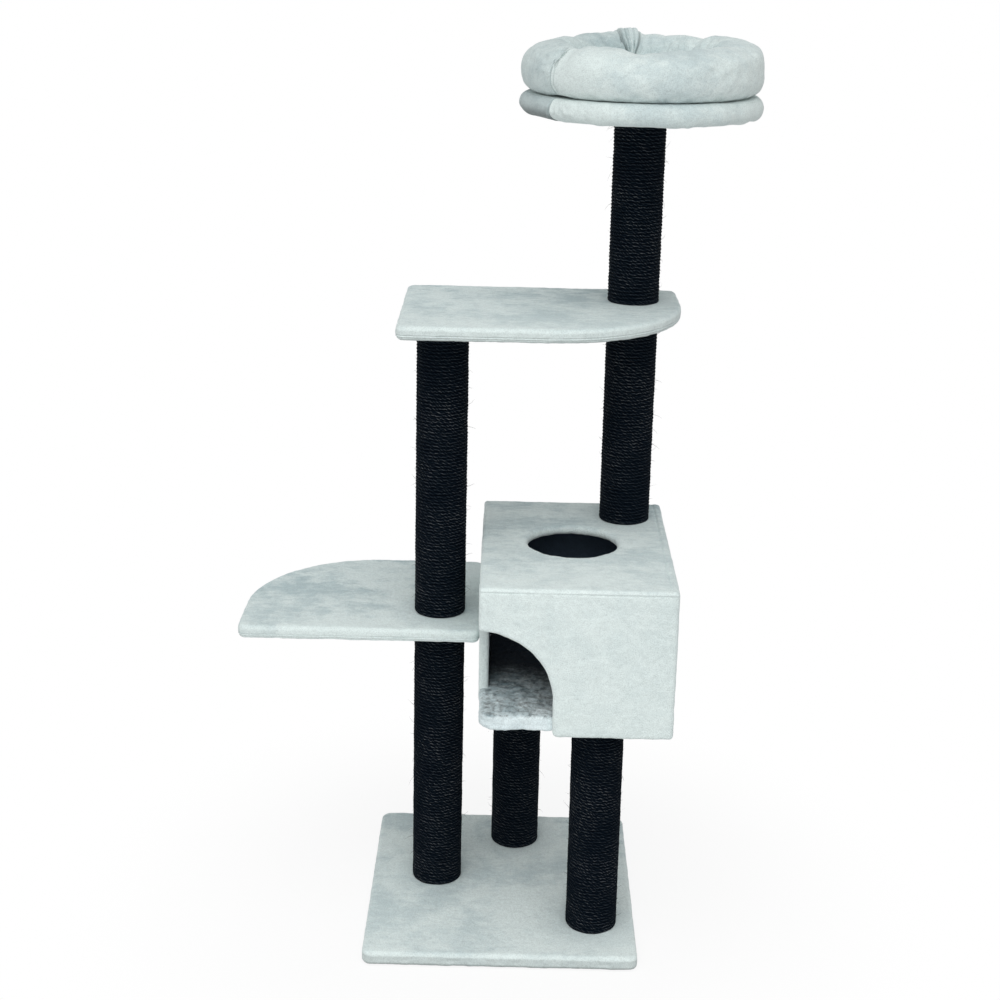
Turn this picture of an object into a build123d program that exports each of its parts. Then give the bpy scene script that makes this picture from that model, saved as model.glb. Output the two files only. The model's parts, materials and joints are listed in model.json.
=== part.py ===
from build123d import *
import os
from math import sqrt

# Cat tree: plush-covered boards on rope-wound posts, a house with a corner entrance, and a round bed.
# Origin at the centre of the base's underside, +X right, +Y back, +Z up, millimetres.

# Boards and covers
plush = 3.0  # pile and backing of the plush cover
edge_round = 8.0  # rounded edge of a covered board
small_corner = 16.0  # plan radius of an ordinary covered corner

base_width = 480.0
base_depth = 500.0
base_core = 20.0
base_corner = 24.0
base_border = 34.0  # plush turned in under the base

platform_core = 18.0
platform_depth = 351.0
platform_round = 235.0  # the one large rounded corner of each platform
low_platform_length = 424.0
low_platform_setback = 170.0  # behind the house's front
upper_platform_length = 486.0
upper_platform_setback = 125.0  # behind the house's front
upper_platform_overhang = 73.0  # left of the left post's axis

# House
house_width = 328.0
house_depth = 456.0
house_height = 260.0
house_left = -47.0
house_core = 11.0  # wall and roof panels
house_round = 6.0
floor_core = 20.0
floor_corner = 26.0  # rounded floor corner in the entrance
sill_setback = 3.0  # floor's edge behind the left wall's outer face, in the entrance
entrance_radius = 126.0
entrance_spring = 57.0  # height of the arch centre over the house's underside
roof_hole_radius = 79.0
roof_hole_from_left = 159.0
roof_hole_from_front = 239.5

# Posts: the rope adds to the tube on both sides
post_diameter = 90.0
rope_diameter = 6.0
tube_wall = 4.0
plug_thickness = 18.0
low_post_length = 508.0
upper_post_length = 526.0
house_post_length = 418.0
bed_post_length = 322.0

# Post axes, from the sides of what they carry
left_post_from_house = 74.0
left_post_from_platform_front = 98.0
back_post_from_left = 71.0
back_post_from_back = 46.0
front_post_from_right = 119.0
front_post_from_front = 115.0
right_post_from_right = 72.0
right_post_from_back = 83.0

# Bed
bed_radius = 207.0
bed_thickness = 38.0
bed_board_radius = 184.0
bed_board_thickness = 15.0
bed_lower_turn = 17.0  # from the widest point in to the flat underside
bed_upper_turn = 14.0  # from the widest point in to the flat top
ring_section_radius = 51.0
ring_centre_radius = 154.0
ring_centre_height = 38.0  # of the section's centre over the flat underside
ring_seam_depth = 4.0
ring_seam_angle = 1.6
ring_seams = (219.0, 97.0)  # directions of the two sewn seams, in degrees from +X
pad_thickness = 26.0
pad_edge_height = 12.0
pad_edge_bulge = 4.0

# Fasteners
bolt_diameter = 8.0
head_width = 13.0  # across the flats
head_height = 5.0
washer_diameter = 24.0
washer_thickness = 1.5
insert_diameter = 12.0
insert_length = 14.0
tee_flange_diameter = 22.0
tee_flange_thickness = 2.0
tee_barrel_diameter = 11.0
tee_barrel_length = 11.0
wall_nut_length = 20.0
front_wall_bolt_setback = 100.0  # behind the low platform's front
back_wall_bolt_setback = 66.0  # before the house's back
screw_diameter = 4.0
screw_head_diameter = 8.0
screw_head_height = 2.5
screw_length = 38.0
corner_screw_inset = 32.0  # from the floor's top and from the walls' top
side_screw_offsets = (-57.0, 114.0)  # along the side walls, from the middle of the house
left_floor_screw_shift = 28.0  # further back, clear of the entrance
front_screw_offsets = (-33.0, 33.0)  # along the front and back walls, from the middle of the house
front_floor_screw_shift = 66.0  # to the right, clear of the entrance

# Clearances
slip = 0.1  # radial, between nested round pieces
bolt_clearance = 0.5  # radial, between a bolt and a hole in a board
head_clearance = 1.0  # round a washer in its counterbore
soft_gap = 0.3  # under a cushion that lifts off

# Levels, from the floor up
base_top = 2 * plush + base_core
platform_thickness = 2 * plush + platform_core
low_platform_bottom = base_top + low_post_length
low_platform_top = low_platform_bottom + platform_thickness
upper_platform_bottom = low_platform_top + upper_post_length
upper_platform_top = upper_platform_bottom + platform_thickness
house_bottom = base_top + house_post_length
house_top = house_bottom + house_height
bed_bottom = upper_platform_top + bed_post_length
bed_top = bed_bottom + bed_thickness
cushion_bottom = bed_top + soft_gap

# Sides of the house, its panels and its cabin
wall = 2 * plush + house_core
house_right = house_left + house_width
house_front = -base_depth / 2
house_back = house_front + house_depth
panel_left = house_left + plush
panel_right = house_right - plush
panel_front = house_front + plush
panel_back = house_back - plush
panel_top = house_top - plush
walls_top = panel_top - house_core
cabin_left = house_left + wall
cabin_right = house_right - wall
cabin_front = house_front + wall
cabin_back = house_back - wall
cabin_top = house_top - wall
floor_thickness = 2 * plush + floor_core
floor_top = house_bottom + floor_thickness
spring_level = house_bottom + entrance_spring

# Plan of the platforms and places of the post axes
low_platform_right = house_left
low_platform_left = low_platform_right - low_platform_length
low_platform_front = house_front + low_platform_setback
low_platform_back = low_platform_front + platform_depth
low_platform_middle = low_platform_bottom + platform_thickness / 2
left_post = (house_left - left_post_from_house, low_platform_front + left_post_from_platform_front)
back_post = (house_left + back_post_from_left, house_back - back_post_from_back)
front_post = (house_right - front_post_from_right, house_front + front_post_from_front)
right_post = (house_right - right_post_from_right, house_back - right_post_from_back)
upper_platform_left = left_post[0] - upper_platform_overhang
upper_platform_right = upper_platform_left + upper_platform_length
upper_platform_front = house_front + upper_platform_setback
upper_platform_back = upper_platform_front + platform_depth
roof_hole = (house_left + roof_hole_from_left, house_front + roof_hole_from_front)

# Round sizes that follow
tube_diameter = post_diameter - 2 * rope_diameter
tube_bore = tube_diameter - 2 * tube_wall
bolt_hole = bolt_diameter / 2 + bolt_clearance
counterbore_radius = washer_diameter / 2 + head_clearance
counterbore_depth = head_height + washer_thickness + bolt_clearance
bed_axis = Axis((right_post[0], right_post[1], 0), (0, 0, 1))

os.makedirs("parts", exist_ok=True)


def save(part, name):
    part.label = name
    export_step(part, f"parts/{name}.step")


def outline(left, right, front, back, large_corner, large_radius, small_radius, inset=0.0):
    """Rectangle with one large rounded corner and three small ones, drawn in by the inset."""
    with BuildSketch() as plan:
        with Locations(((left + right) / 2, (front + back) / 2)):
            Rectangle(right - left - 2 * inset, back - front - 2 * inset)
        corners = plan.vertices().sort_by_distance(large_corner)
        fillet(corners[1:], small_radius - inset)
        fillet(plan.vertices().sort_by_distance(large_corner)[0], large_radius - inset)
    return plan.sketch


def blank(plan, underside, thickness, rounding=0.0):
    """Plate of the given plan, with its upper and lower edges left square or rounded."""
    with BuildPart() as plate:
        with BuildSketch(Plane.XY.offset(underside)):
            add(plan)
        extrude(amount=thickness)
        if rounding > 0:
            fillet(plate.faces().filter_by(Axis.Z).edges(), rounding)
    return plate.part


def box_between(low, high, mode=Mode.ADD):
    """Box from its lowest corner to its highest, in the part being built."""
    middle = tuple((a + b) / 2 for a, b in zip(low, high))
    sides = tuple(b - a for a, b in zip(low, high))
    with Locations(middle):
        Box(*sides, mode=mode)


def upward(level):
    return Plane((0, 0, level))


def downward(level):
    return Plane((0, 0, level), x_dir=(1, 0, 0), z_dir=(0, 0, -1))


def on_plane(plane, points):
    """The points' places in the plane's own two coordinates."""
    local = [plane.to_local_coords(Vector(*point)) for point in points]
    return [(place.X, place.Y) for place in local]


def discs(plane, points, radius, length, bore=0.0):
    """Round pieces standing on a plane, each with an optional bore, in the part being built."""
    with BuildSketch(plane) as rounds:
        with Locations(*on_plane(plane, points)):
            Circle(radius)
            if bore > 0:
                Circle(bore, mode=Mode.SUBTRACT)
    extrude(rounds.sketch, amount=length)


def bolts(plane, points, reach):
    """Hexagon bolts driven along the plane's normal, with room for a washer under each head."""
    seat = plane.offset(-washer_thickness)
    with BuildSketch(seat) as heads:
        with Locations(*on_plane(seat, points)):
            RegularPolygon(head_width / 2, 6, major_radius=False)
    extrude(heads.sketch, amount=-head_height)
    discs(seat, points, bolt_diameter / 2, washer_thickness + reach)


def washers(plane, points):
    under_head = plane.offset(-washer_thickness)
    discs(under_head, points, washer_diameter / 2, washer_thickness, bolt_diameter / 2 + slip)


def at(post, level):
    return (post[0], post[1], level)


# Post places: name, plan position, foot and length
right_middle_length = upper_platform_bottom - house_top
posts = (
    ("left_lower", left_post, base_top, low_post_length),
    ("left_upper", left_post, low_platform_top, upper_post_length),
    ("back", back_post, base_top, house_post_length),
    ("front", front_post, base_top, house_post_length),
    ("right_middle", right_post, house_top, right_middle_length),
    ("right_upper", right_post, upper_platform_top, bed_post_length),
)

# Base: board, plush cover turned in underneath, and the backing sheet inside its border
base_feet = [at(left_post, plush), at(back_post, plush), at(front_post, plush)]
base_side = (-base_width / 2, base_width / 2, -base_depth / 2, base_depth / 2)
base_first_corner = (-base_width / 2, -base_depth / 2)
base_plan = outline(*base_side, base_first_corner, base_corner, base_corner)
base_core_plan = outline(*base_side, base_first_corner, base_corner, base_corner, plush)
window_corner = base_corner + base_border
base_window_plan = outline(*base_side, base_first_corner, window_corner, window_corner, base_border)
base_blank = blank(base_core_plan, plush, base_core)

with BuildPart() as base_board:
    add(base_blank)
    with Locations(*[Plane(foot, x_dir=(1, 0, 0), z_dir=(0, 0, -1)) for foot in base_feet]):
        CounterBoreHole(bolt_hole, counterbore_radius, counterbore_depth)
save(base_board.part, "base_board")

base_wrap = blank(base_plan, 0, base_top, edge_round)
with BuildPart() as base_cover:
    add(base_wrap)
    add(base_blank, mode=Mode.SUBTRACT)
    with BuildSketch():
        add(base_window_plan)
    extrude(amount=plush, mode=Mode.SUBTRACT)
    with Locations(*[at(foot, base_top) for foot in base_feet]):
        Hole(bolt_hole, depth=plush)
save(base_cover.part, "base_cover")

with BuildPart() as base_backing:
    with BuildSketch():
        add(base_window_plan)
        with Locations(*[foot[:2] for foot in base_feet]):
            Circle(counterbore_radius, mode=Mode.SUBTRACT)
    extrude(amount=plush)
save(base_backing.part, "base_backing")

base_bolt_seat = plush + counterbore_depth
with BuildPart() as base_bolts:
    bolts(upward(base_bolt_seat), base_feet, base_top - base_bolt_seat + insert_length)
save(base_bolts.part, "base_bolts")

with BuildPart() as base_washers:
    washers(upward(base_bolt_seat), base_feet)
save(base_washers.part, "base_washers")

# Posts: cardboard tube, wound sleeve, and a plug with a threaded insert in each end
for post_name, place, foot_level, length in posts:
    foot_plane = upward(foot_level)
    foot_point = at(place, foot_level)
    with BuildPart() as tube:
        discs(foot_plane, [foot_point], tube_diameter / 2, length, tube_bore / 2)
    save(tube.part, f"{post_name}_tube")
    with BuildPart() as sisal:
        discs(foot_plane, [foot_point], post_diameter / 2, length, tube_diameter / 2 + slip)
    save(sisal.part, f"{post_name}_sisal")

post_ends = []
for post_name, place, foot_level, length in posts:
    post_ends.append((upward(foot_level), at(place, foot_level)))
    post_ends.append((downward(foot_level + length), at(place, foot_level + length)))

with BuildPart() as post_plugs:
    for end_plane, end_point in post_ends:
        discs(end_plane, [end_point], tube_bore / 2 - slip, plug_thickness, insert_diameter / 2 + slip)
save(post_plugs.part, "post_plugs")

with BuildPart() as insert_nuts:
    for end_plane, end_point in post_ends:
        discs(end_plane, [end_point], insert_diameter / 2, insert_length, bolt_diameter / 2 + slip)
save(insert_nuts.part, "insert_nuts")

# Low platform: rounded at the back left, bolted to the house wall at its right end
low_side = (low_platform_left, low_platform_right, low_platform_front, low_platform_back)
low_corner = (low_platform_left, low_platform_back)
low_plan = outline(*low_side, low_corner, platform_round, small_corner)
low_core_plan = outline(*low_side, low_corner, platform_round, small_corner, plush)
low_blank = blank(low_core_plan, low_platform_bottom + plush, platform_core)
wall_bolt_y = (low_platform_front + front_wall_bolt_setback, house_back - back_wall_bolt_setback)
wall_bolt_points = [(cabin_left, y, low_platform_middle) for y in wall_bolt_y]
wall_bolt_plane = Plane((cabin_left, 0, 0), x_dir=(0, -1, 0), z_dir=(-1, 0, 0))
platform_end = Plane((low_platform_right, 0, 0), x_dir=(0, -1, 0), z_dir=(-1, 0, 0))
platform_end_points = [(low_platform_right, y, low_platform_middle) for y in wall_bolt_y]

with BuildPart() as low_platform_board:
    add(low_blank)
    with Locations(at(left_post, low_platform_top)):
        Hole(bolt_hole)
    with BuildSketch(platform_end):
        with Locations(*on_plane(platform_end, platform_end_points)):
            Circle(insert_diameter / 2 + slip)
    extrude(amount=plush + wall_nut_length, mode=Mode.SUBTRACT)
save(low_platform_board.part, "low_platform_board")

low_wrap = blank(low_plan, low_platform_bottom, platform_thickness, edge_round)
with BuildPart() as low_platform_cover:
    add(low_wrap)
    add(low_blank, mode=Mode.SUBTRACT)
    with Locations(at(left_post, low_platform_top)):
        Hole(bolt_hole)
    with BuildSketch(platform_end):
        with Locations(*on_plane(platform_end, platform_end_points)):
            Circle(bolt_hole)
    extrude(amount=plush, mode=Mode.SUBTRACT)
save(low_platform_cover.part, "low_platform_cover")

nut_plane = platform_end.offset(plush)
with BuildPart() as wall_nuts:
    discs(nut_plane, platform_end_points, insert_diameter / 2, wall_nut_length, bolt_diameter / 2 + slip)
save(wall_nuts.part, "wall_nuts")

with BuildPart() as wall_bolts:
    bolts(wall_bolt_plane, wall_bolt_points, wall + plush + wall_nut_length)
save(wall_bolts.part, "wall_bolts")

with BuildPart() as wall_washers:
    washers(wall_bolt_plane, wall_bolt_points)
save(wall_washers.part, "wall_washers")

# Upper platform: rounded at the front right
upper_side = (upper_platform_left, upper_platform_right, upper_platform_front, upper_platform_back)
upper_corner = (upper_platform_right, upper_platform_front)
upper_plan = outline(*upper_side, upper_corner, platform_round, small_corner)
upper_core_plan = outline(*upper_side, upper_corner, platform_round, small_corner, plush)
upper_blank = blank(upper_core_plan, upper_platform_bottom + plush, platform_core)
upper_core_top = upper_platform_top - plush

with BuildPart() as upper_platform_board:
    add(upper_blank)
    with Locations(at(right_post, upper_platform_top)):
        Hole(bolt_hole)
    with Locations(at(left_post, upper_core_top)):
        CounterBoreHole(tee_barrel_diameter / 2 + slip, tee_flange_diameter / 2 + slip, tee_flange_thickness)
save(upper_platform_board.part, "upper_platform_board")

upper_wrap = blank(upper_plan, upper_platform_bottom, platform_thickness, edge_round)
with BuildPart() as upper_platform_cover:
    add(upper_wrap)
    add(upper_blank, mode=Mode.SUBTRACT)
    with Locations(at(right_post, upper_platform_top)):
        Hole(bolt_hole)
    with Locations(Plane(at(left_post, upper_platform_bottom), x_dir=(1, 0, 0), z_dir=(0, 0, -1))):
        Hole(bolt_hole, depth=plush)
save(upper_platform_cover.part, "upper_platform_cover")

# Studs: two join a post to the next through a platform, two end in a tee nut
stud_length = platform_thickness + 2 * insert_length
with BuildPart() as through_studs:
    for place, platform_bottom in ((left_post, low_platform_bottom), (right_post, upper_platform_bottom)):
        foot_level = platform_bottom - insert_length
        discs(upward(foot_level), [at(place, foot_level)], bolt_diameter / 2, stud_length)
save(through_studs.part, "through_studs")

bed_board_bottom = bed_bottom + plush
bed_board_top = bed_board_bottom + bed_board_thickness
tee_places = ((left_post, upper_platform_bottom, upper_core_top), (right_post, bed_bottom, bed_board_top))
with BuildPart() as short_studs:
    for place, post_top, board_top in tee_places:
        foot_level = post_top - insert_length
        discs(upward(foot_level), [at(place, foot_level)], bolt_diameter / 2, board_top - foot_level)
save(short_studs.part, "short_studs")

with BuildPart() as tee_nuts:
    for place, post_top, board_top in tee_places:
        top_plane = downward(board_top)
        nut_bore = bolt_diameter / 2 + slip
        discs(top_plane, [at(place, board_top)], tee_flange_diameter / 2, tee_flange_thickness, nut_bore)
        barrel_length = tee_flange_thickness + tee_barrel_length
        discs(top_plane, [at(place, board_top)], tee_barrel_diameter / 2, barrel_length, nut_bore)
save(tee_nuts.part, "tee_nuts")

# House screws, each from the outer face of a panel into the piece behind it
front_middle = panel_front + house_core / 2
back_middle = panel_back - house_core / 2
left_middle = panel_left + house_core / 2
right_middle = panel_right - house_core / 2
floor_middle = house_bottom + floor_thickness / 2
lower_corner_screw = floor_top + corner_screw_inset
upper_corner_screw = walls_top - corner_screw_inset
inward = {"left": (1, 0, 0), "right": (-1, 0, 0), "front": (0, 1, 0), "back": (0, -1, 0), "top": (0, 0, -1)}
screws = [((panel_left, front_middle, upper_corner_screw), inward["left"])]
for screw_level in (lower_corner_screw, upper_corner_screw):
    screws.append(((panel_left, back_middle, screw_level), inward["left"]))
    screws.append(((panel_right, back_middle, screw_level), inward["right"]))
    screws.append(((panel_right, front_middle, screw_level), inward["right"]))
house_middle_x = (house_left + house_right) / 2
house_middle_y = (house_front + house_back) / 2
for offset_y in side_screw_offsets:
    y = house_middle_y + offset_y
    screws.append(((left_middle, y, panel_top), inward["top"]))
    screws.append(((right_middle, y, panel_top), inward["top"]))
    screws.append(((panel_right, y, floor_middle), inward["right"]))
    screws.append(((panel_left, y + left_floor_screw_shift, floor_middle), inward["left"]))
for offset_x in front_screw_offsets:
    x = house_middle_x + offset_x
    screws.append(((x, front_middle, panel_top), inward["top"]))
    screws.append(((x, back_middle, panel_top), inward["top"]))
    screws.append(((x + front_floor_screw_shift, panel_front, floor_middle), inward["front"]))
    screws.append(((x, panel_back, floor_middle), inward["back"]))


def screw_bodies(clearance=0.0, mode=Mode.ADD):
    """Countersunk screws, or the holes that they need, in the part being built."""
    shank = screw_diameter / 2 + clearance
    head = screw_head_diameter / 2 + clearance
    with Locations(*[Plane(point, z_dir=direction) for point, direction in screws]):
        Cone(head, shank, screw_head_height, align=(Align.CENTER, Align.CENTER, Align.MIN), mode=mode)
        Cylinder(shank, screw_length, align=(Align.CENTER, Align.CENTER, Align.MIN), mode=mode)


with BuildPart() as house_screws:
    screw_bodies()
save(house_screws.part, "house_screws")


def entrance(radius, front_face, left_face, depth):
    """Cuts the arched corner entrance through the front and left walls of the part being built."""
    drop = spring_level - house_bottom + radius
    front_plane = Plane.XZ.offset(-front_face)
    left_plane = Plane.YZ.offset(left_face)
    for plane, corner in ((front_plane, house_left), (left_plane, house_front)):
        with BuildSketch(plane) as arch:
            with Locations((corner, spring_level)):
                Circle(radius)
                Rectangle(2 * radius, drop, align=(Align.CENTER, Align.MAX))
        inwards = -depth if plane.z_dir.Y < 0 else depth
        extrude(arch.sketch, amount=inwards, mode=Mode.SUBTRACT)


# House panels: side walls run the full depth, front and back stand between them, the roof lies on top
side_right = panel_left + house_core
side_left = panel_right - house_core
front_inner = panel_front + house_core
back_inner = panel_back - house_core
panel_boxes = {
    "house_left_panel": ((panel_left, panel_front, house_bottom), (side_right, panel_back, walls_top)),
    "house_right_panel": ((side_left, panel_front, house_bottom), (panel_right, panel_back, walls_top)),
    "house_front_panel": ((side_right, panel_front, house_bottom), (side_left, front_inner, walls_top)),
    "house_back_panel": ((side_right, back_inner, house_bottom), (side_left, panel_back, walls_top)),
    "house_roof_panel": ((panel_left, panel_front, walls_top), (panel_right, panel_back, panel_top)),
}
panel_blanks = []
for panel_name, (low, high) in panel_boxes.items():
    with BuildPart() as panel_blank:
        box_between(low, high)
        if panel_name in ("house_left_panel", "house_front_panel"):
            entrance(entrance_radius + plush, panel_front, panel_left, house_core)
        if panel_name == "house_roof_panel":
            with Locations(at(roof_hole, panel_top)):
                Hole(roof_hole_radius + plush)
    panel_blanks.append(panel_blank.part)
    with BuildPart() as panel:
        add(panel_blank.part)
        screw_bodies(slip, Mode.SUBTRACT)
        if panel_name == "house_roof_panel":
            with Locations(at(right_post, panel_top)):
                Hole(bolt_hole)
        if panel_name == "house_left_panel":
            with BuildSketch(wall_bolt_plane):
                with Locations(*on_plane(wall_bolt_plane, wall_bolt_points)):
                    Circle(bolt_hole)
            extrude(amount=wall, mode=Mode.SUBTRACT)
    save(panel.part, panel_name)

# House cover: plush outside, inside, and round the cut edges
with BuildPart() as house_cover:
    box_between((house_left, house_front, house_bottom), (house_right, house_back, house_top))
    upright_edges = house_cover.edges().filter_by(Axis.Z)
    top_edges = house_cover.faces().sort_by(Axis.Z)[-1].edges()
    fillet(upright_edges + top_edges, house_round)
    box_between((cabin_left, cabin_front, house_bottom), (cabin_right, cabin_back, cabin_top), Mode.SUBTRACT)
    entrance(entrance_radius, house_front, house_left, wall)
    with Locations(at(roof_hole, house_top)):
        Hole(roof_hole_radius)
    for panel_blank_part in panel_blanks:
        add(panel_blank_part, mode=Mode.SUBTRACT)
    screw_bodies(slip, Mode.SUBTRACT)
    with Locations(at(right_post, house_top)):
        Hole(bolt_hole, depth=wall)
    with BuildSketch(wall_bolt_plane):
        with Locations(*on_plane(wall_bolt_plane, wall_bolt_points)):
            Circle(bolt_hole)
    extrude(amount=wall, mode=Mode.SUBTRACT)
save(house_cover.part, "house_cover")

# House floor, inside the walls, with a sill that fills the left wall's opening and is rounded in front
sill_left = house_left + sill_setback
sill_back = house_front + entrance_radius - soft_gap


def floor_outline(inset=0.0):
    """Plan of the floor and its sill, drawn in by the inset."""
    left = sill_left + inset
    right = cabin_right - inset
    front = cabin_front + inset
    back = cabin_back - inset
    cabin_side = cabin_left + inset
    sill_end = sill_back - inset
    with BuildSketch() as plan:
        with BuildLine():
            Polyline(
                (left, front), (right, front), (right, back), (cabin_side, back),
                (cabin_side, sill_end), (left, sill_end), close=True,
            )
        make_face()
        for corner in ((right, front), (right, back), (cabin_side, back)):
            fillet(plan.vertices().sort_by_distance(corner)[0], edge_round - inset)
        fillet(plan.vertices().sort_by_distance((left, front))[0], floor_corner - inset)
    return plan.sketch


floor_plan = floor_outline()
floor_core_plan = floor_outline(plush)
floor_blank = blank(floor_core_plan, house_bottom + plush, floor_core)
floor_bolt_points = [at(back_post, floor_top), at(front_post, floor_top)]

with BuildPart() as house_floor_board:
    add(floor_blank)
    with Locations(*floor_bolt_points):
        Hole(bolt_hole)
    screw_bodies(slip, Mode.SUBTRACT)
save(house_floor_board.part, "house_floor_board")

floor_wrap = blank(floor_plan, house_bottom, floor_thickness, edge_round - plush)
with BuildPart() as house_floor_cover:
    add(floor_wrap)
    add(floor_blank, mode=Mode.SUBTRACT)
    with Locations(*floor_bolt_points):
        Hole(bolt_hole)
    screw_bodies(slip, Mode.SUBTRACT)
save(house_floor_cover.part, "house_floor_cover")

# Bolts inside the house: two down through the floor, one up through the roof
roof_bolt_point = at(right_post, cabin_top)
with BuildPart() as panel_bolts:
    bolts(downward(floor_top), floor_bolt_points, floor_thickness + insert_length)
    bolts(upward(cabin_top), [roof_bolt_point], wall + insert_length)
save(panel_bolts.part, "panel_bolts")

with BuildPart() as panel_washers:
    washers(downward(floor_top), floor_bolt_points)
    washers(upward(cabin_top), [roof_bolt_point])
save(panel_washers.part, "panel_washers")


def bed_plane(level):
    """Upright plane through the bed's axis: local x runs outwards, local y runs up."""
    return Plane(at(right_post, level), x_dir=(1, 0, 0), z_dir=(0, -1, 0))


def bed_section(inset):
    """Half section of the padded disc: flat faces and one bulging side."""
    lower_edge = bed_radius - bed_lower_turn
    upper_edge = bed_radius - bed_upper_turn
    low = inset
    high = bed_thickness - inset
    with BuildSketch() as section:
        with BuildLine():
            Line((0, low), (lower_edge, low))
            ThreePointArc((lower_edge, low), (bed_radius - inset, bed_thickness / 2), (upper_edge, high))
            Line((upper_edge, high), (0, high))
            Line((0, high), (0, low))
        make_face()
    return section.sketch


# Bed: board, foam over it, and a sewn cover round both
with BuildPart() as bed_board:
    discs(upward(bed_board_bottom), [at(right_post, bed_board_bottom)], bed_board_radius, bed_board_thickness)
    with Locations(at(right_post, bed_board_top)):
        CounterBoreHole(tee_barrel_diameter / 2 + slip, tee_flange_diameter / 2 + slip, tee_flange_thickness)
save(bed_board.part, "bed_board")

with BuildPart() as bed_foam:
    with BuildSketch(bed_plane(bed_bottom)):
        add(bed_section(plush))
    revolve(axis=bed_axis)
    with BuildSketch(Plane.XY.offset(bed_board_bottom)):
        with Locations(right_post):
            Circle(bed_board_radius)
    extrude(amount=bed_board_thickness, mode=Mode.SUBTRACT)
save(bed_foam.part, "bed_foam")

with BuildPart() as bed_cover:
    with BuildSketch(bed_plane(bed_bottom)):
        add(bed_section(0))
        add(bed_section(plush), mode=Mode.SUBTRACT)
    revolve(axis=bed_axis)
    with Locations(Plane(at(right_post, bed_bottom), x_dir=(1, 0, 0), z_dir=(0, 0, -1))):
        Hole(bolt_hole, depth=plush)
save(bed_cover.part, "bed_cover")


def ring_section(inset):
    """Section of the ring cushion: a round with a flat underside, drawn in by the inset."""
    radius = ring_section_radius - inset
    half_flat = sqrt(radius**2 - ring_centre_height**2)
    inner = ring_centre_radius - half_flat
    outer = ring_centre_radius + half_flat
    crown = (ring_centre_radius, ring_centre_height + radius)
    with BuildSketch() as section:
        with BuildLine():
            Line((inner, 0), (outer, 0))
            ThreePointArc((outer, 0), (ring_centre_radius + radius, ring_centre_height), crown)
            ThreePointArc(crown, (ring_centre_radius - radius, ring_centre_height), (inner, 0))
        make_face()
    return section.sketch


# Ring cushion, with its two sewn seams drawn in
with BuildPart() as seam_groove:
    with BuildSketch(bed_plane(cushion_bottom)):
        add(ring_section(-ring_seam_depth))
        add(ring_section(ring_seam_depth), mode=Mode.SUBTRACT)
    revolve(axis=bed_axis, revolution_arc=ring_seam_angle)

with BuildPart() as bed_ring:
    with BuildSketch(bed_plane(cushion_bottom)):
        add(ring_section(0))
    revolve(axis=bed_axis)
    for seam_direction in ring_seams:
        add(seam_groove.part.rotate(bed_axis, seam_direction), mode=Mode.SUBTRACT)
save(bed_ring.part, "bed_ring")

# Pad that closes the bottom of the ring, crowned in the middle
pad_radius = ring_centre_radius - ring_section_radius - soft_gap
pad_foot = pad_radius - pad_edge_bulge
with BuildPart() as bed_pad:
    with BuildSketch(bed_plane(cushion_bottom)):
        with BuildLine():
            Line((0, 0), (pad_foot, 0))
            ThreePointArc((pad_foot, 0), (pad_radius, pad_edge_height / 2), (pad_foot, pad_edge_height))
            TangentArc((0, pad_thickness), (pad_foot, pad_edge_height), tangent=(1, 0))
            Line((0, pad_thickness), (0, 0))
        make_face()
    revolve(axis=bed_axis)
save(bed_pad.part, "bed_pad")
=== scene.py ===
import json
from math import cos, pi, radians, sin

import bpy
import numpy as np
from mathutils import Matrix, Vector

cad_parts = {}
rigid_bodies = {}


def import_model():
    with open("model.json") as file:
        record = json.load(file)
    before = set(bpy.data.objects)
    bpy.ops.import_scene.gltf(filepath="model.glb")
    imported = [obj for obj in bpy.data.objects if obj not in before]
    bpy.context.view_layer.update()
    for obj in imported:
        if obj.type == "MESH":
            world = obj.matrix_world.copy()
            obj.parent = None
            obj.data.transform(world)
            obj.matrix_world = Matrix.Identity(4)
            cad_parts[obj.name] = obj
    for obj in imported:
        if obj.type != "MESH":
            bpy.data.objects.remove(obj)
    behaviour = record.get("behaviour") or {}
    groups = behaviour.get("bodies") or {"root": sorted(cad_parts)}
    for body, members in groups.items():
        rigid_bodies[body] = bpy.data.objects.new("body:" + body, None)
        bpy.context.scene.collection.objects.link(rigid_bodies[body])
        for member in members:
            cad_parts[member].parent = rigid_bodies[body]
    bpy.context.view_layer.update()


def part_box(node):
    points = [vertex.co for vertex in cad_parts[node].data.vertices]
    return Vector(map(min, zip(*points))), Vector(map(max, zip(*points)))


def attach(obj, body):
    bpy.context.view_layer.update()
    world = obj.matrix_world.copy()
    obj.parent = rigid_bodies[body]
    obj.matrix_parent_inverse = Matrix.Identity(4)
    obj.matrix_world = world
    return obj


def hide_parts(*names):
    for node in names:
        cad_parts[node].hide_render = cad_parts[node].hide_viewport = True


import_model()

# Sizes that the part's source has too, in metres and degrees
POST_RADIUS = 0.045
ROPE_RADIUS = 0.003
EDGE_ROUND = 0.008
SMALL_CORNER = 0.016
LARGE_CORNER = 0.235
BASE_BORDER = 0.034
WALL = 0.017
HALF_WALL = WALL / 2
FLOOR_CORNER = 0.026
ENTRANCE_RADIUS = 0.126
ENTRANCE_SPRING = 0.057
ROOF_HOLE = (0.112, -0.0105)
ROOF_HOLE_RADIUS = 0.079
BED_LOWER_TURN = 0.017
BED_UPPER_TURN = 0.014
RING_SECTION = 0.051
RING_RADIUS = 0.154
RING_HEIGHT = 0.038
RING_SEAMS = (219.0, 97.0)
PAD_EDGE_HEIGHT = 0.012
PAD_EDGE_BULGE = 0.004

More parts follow.
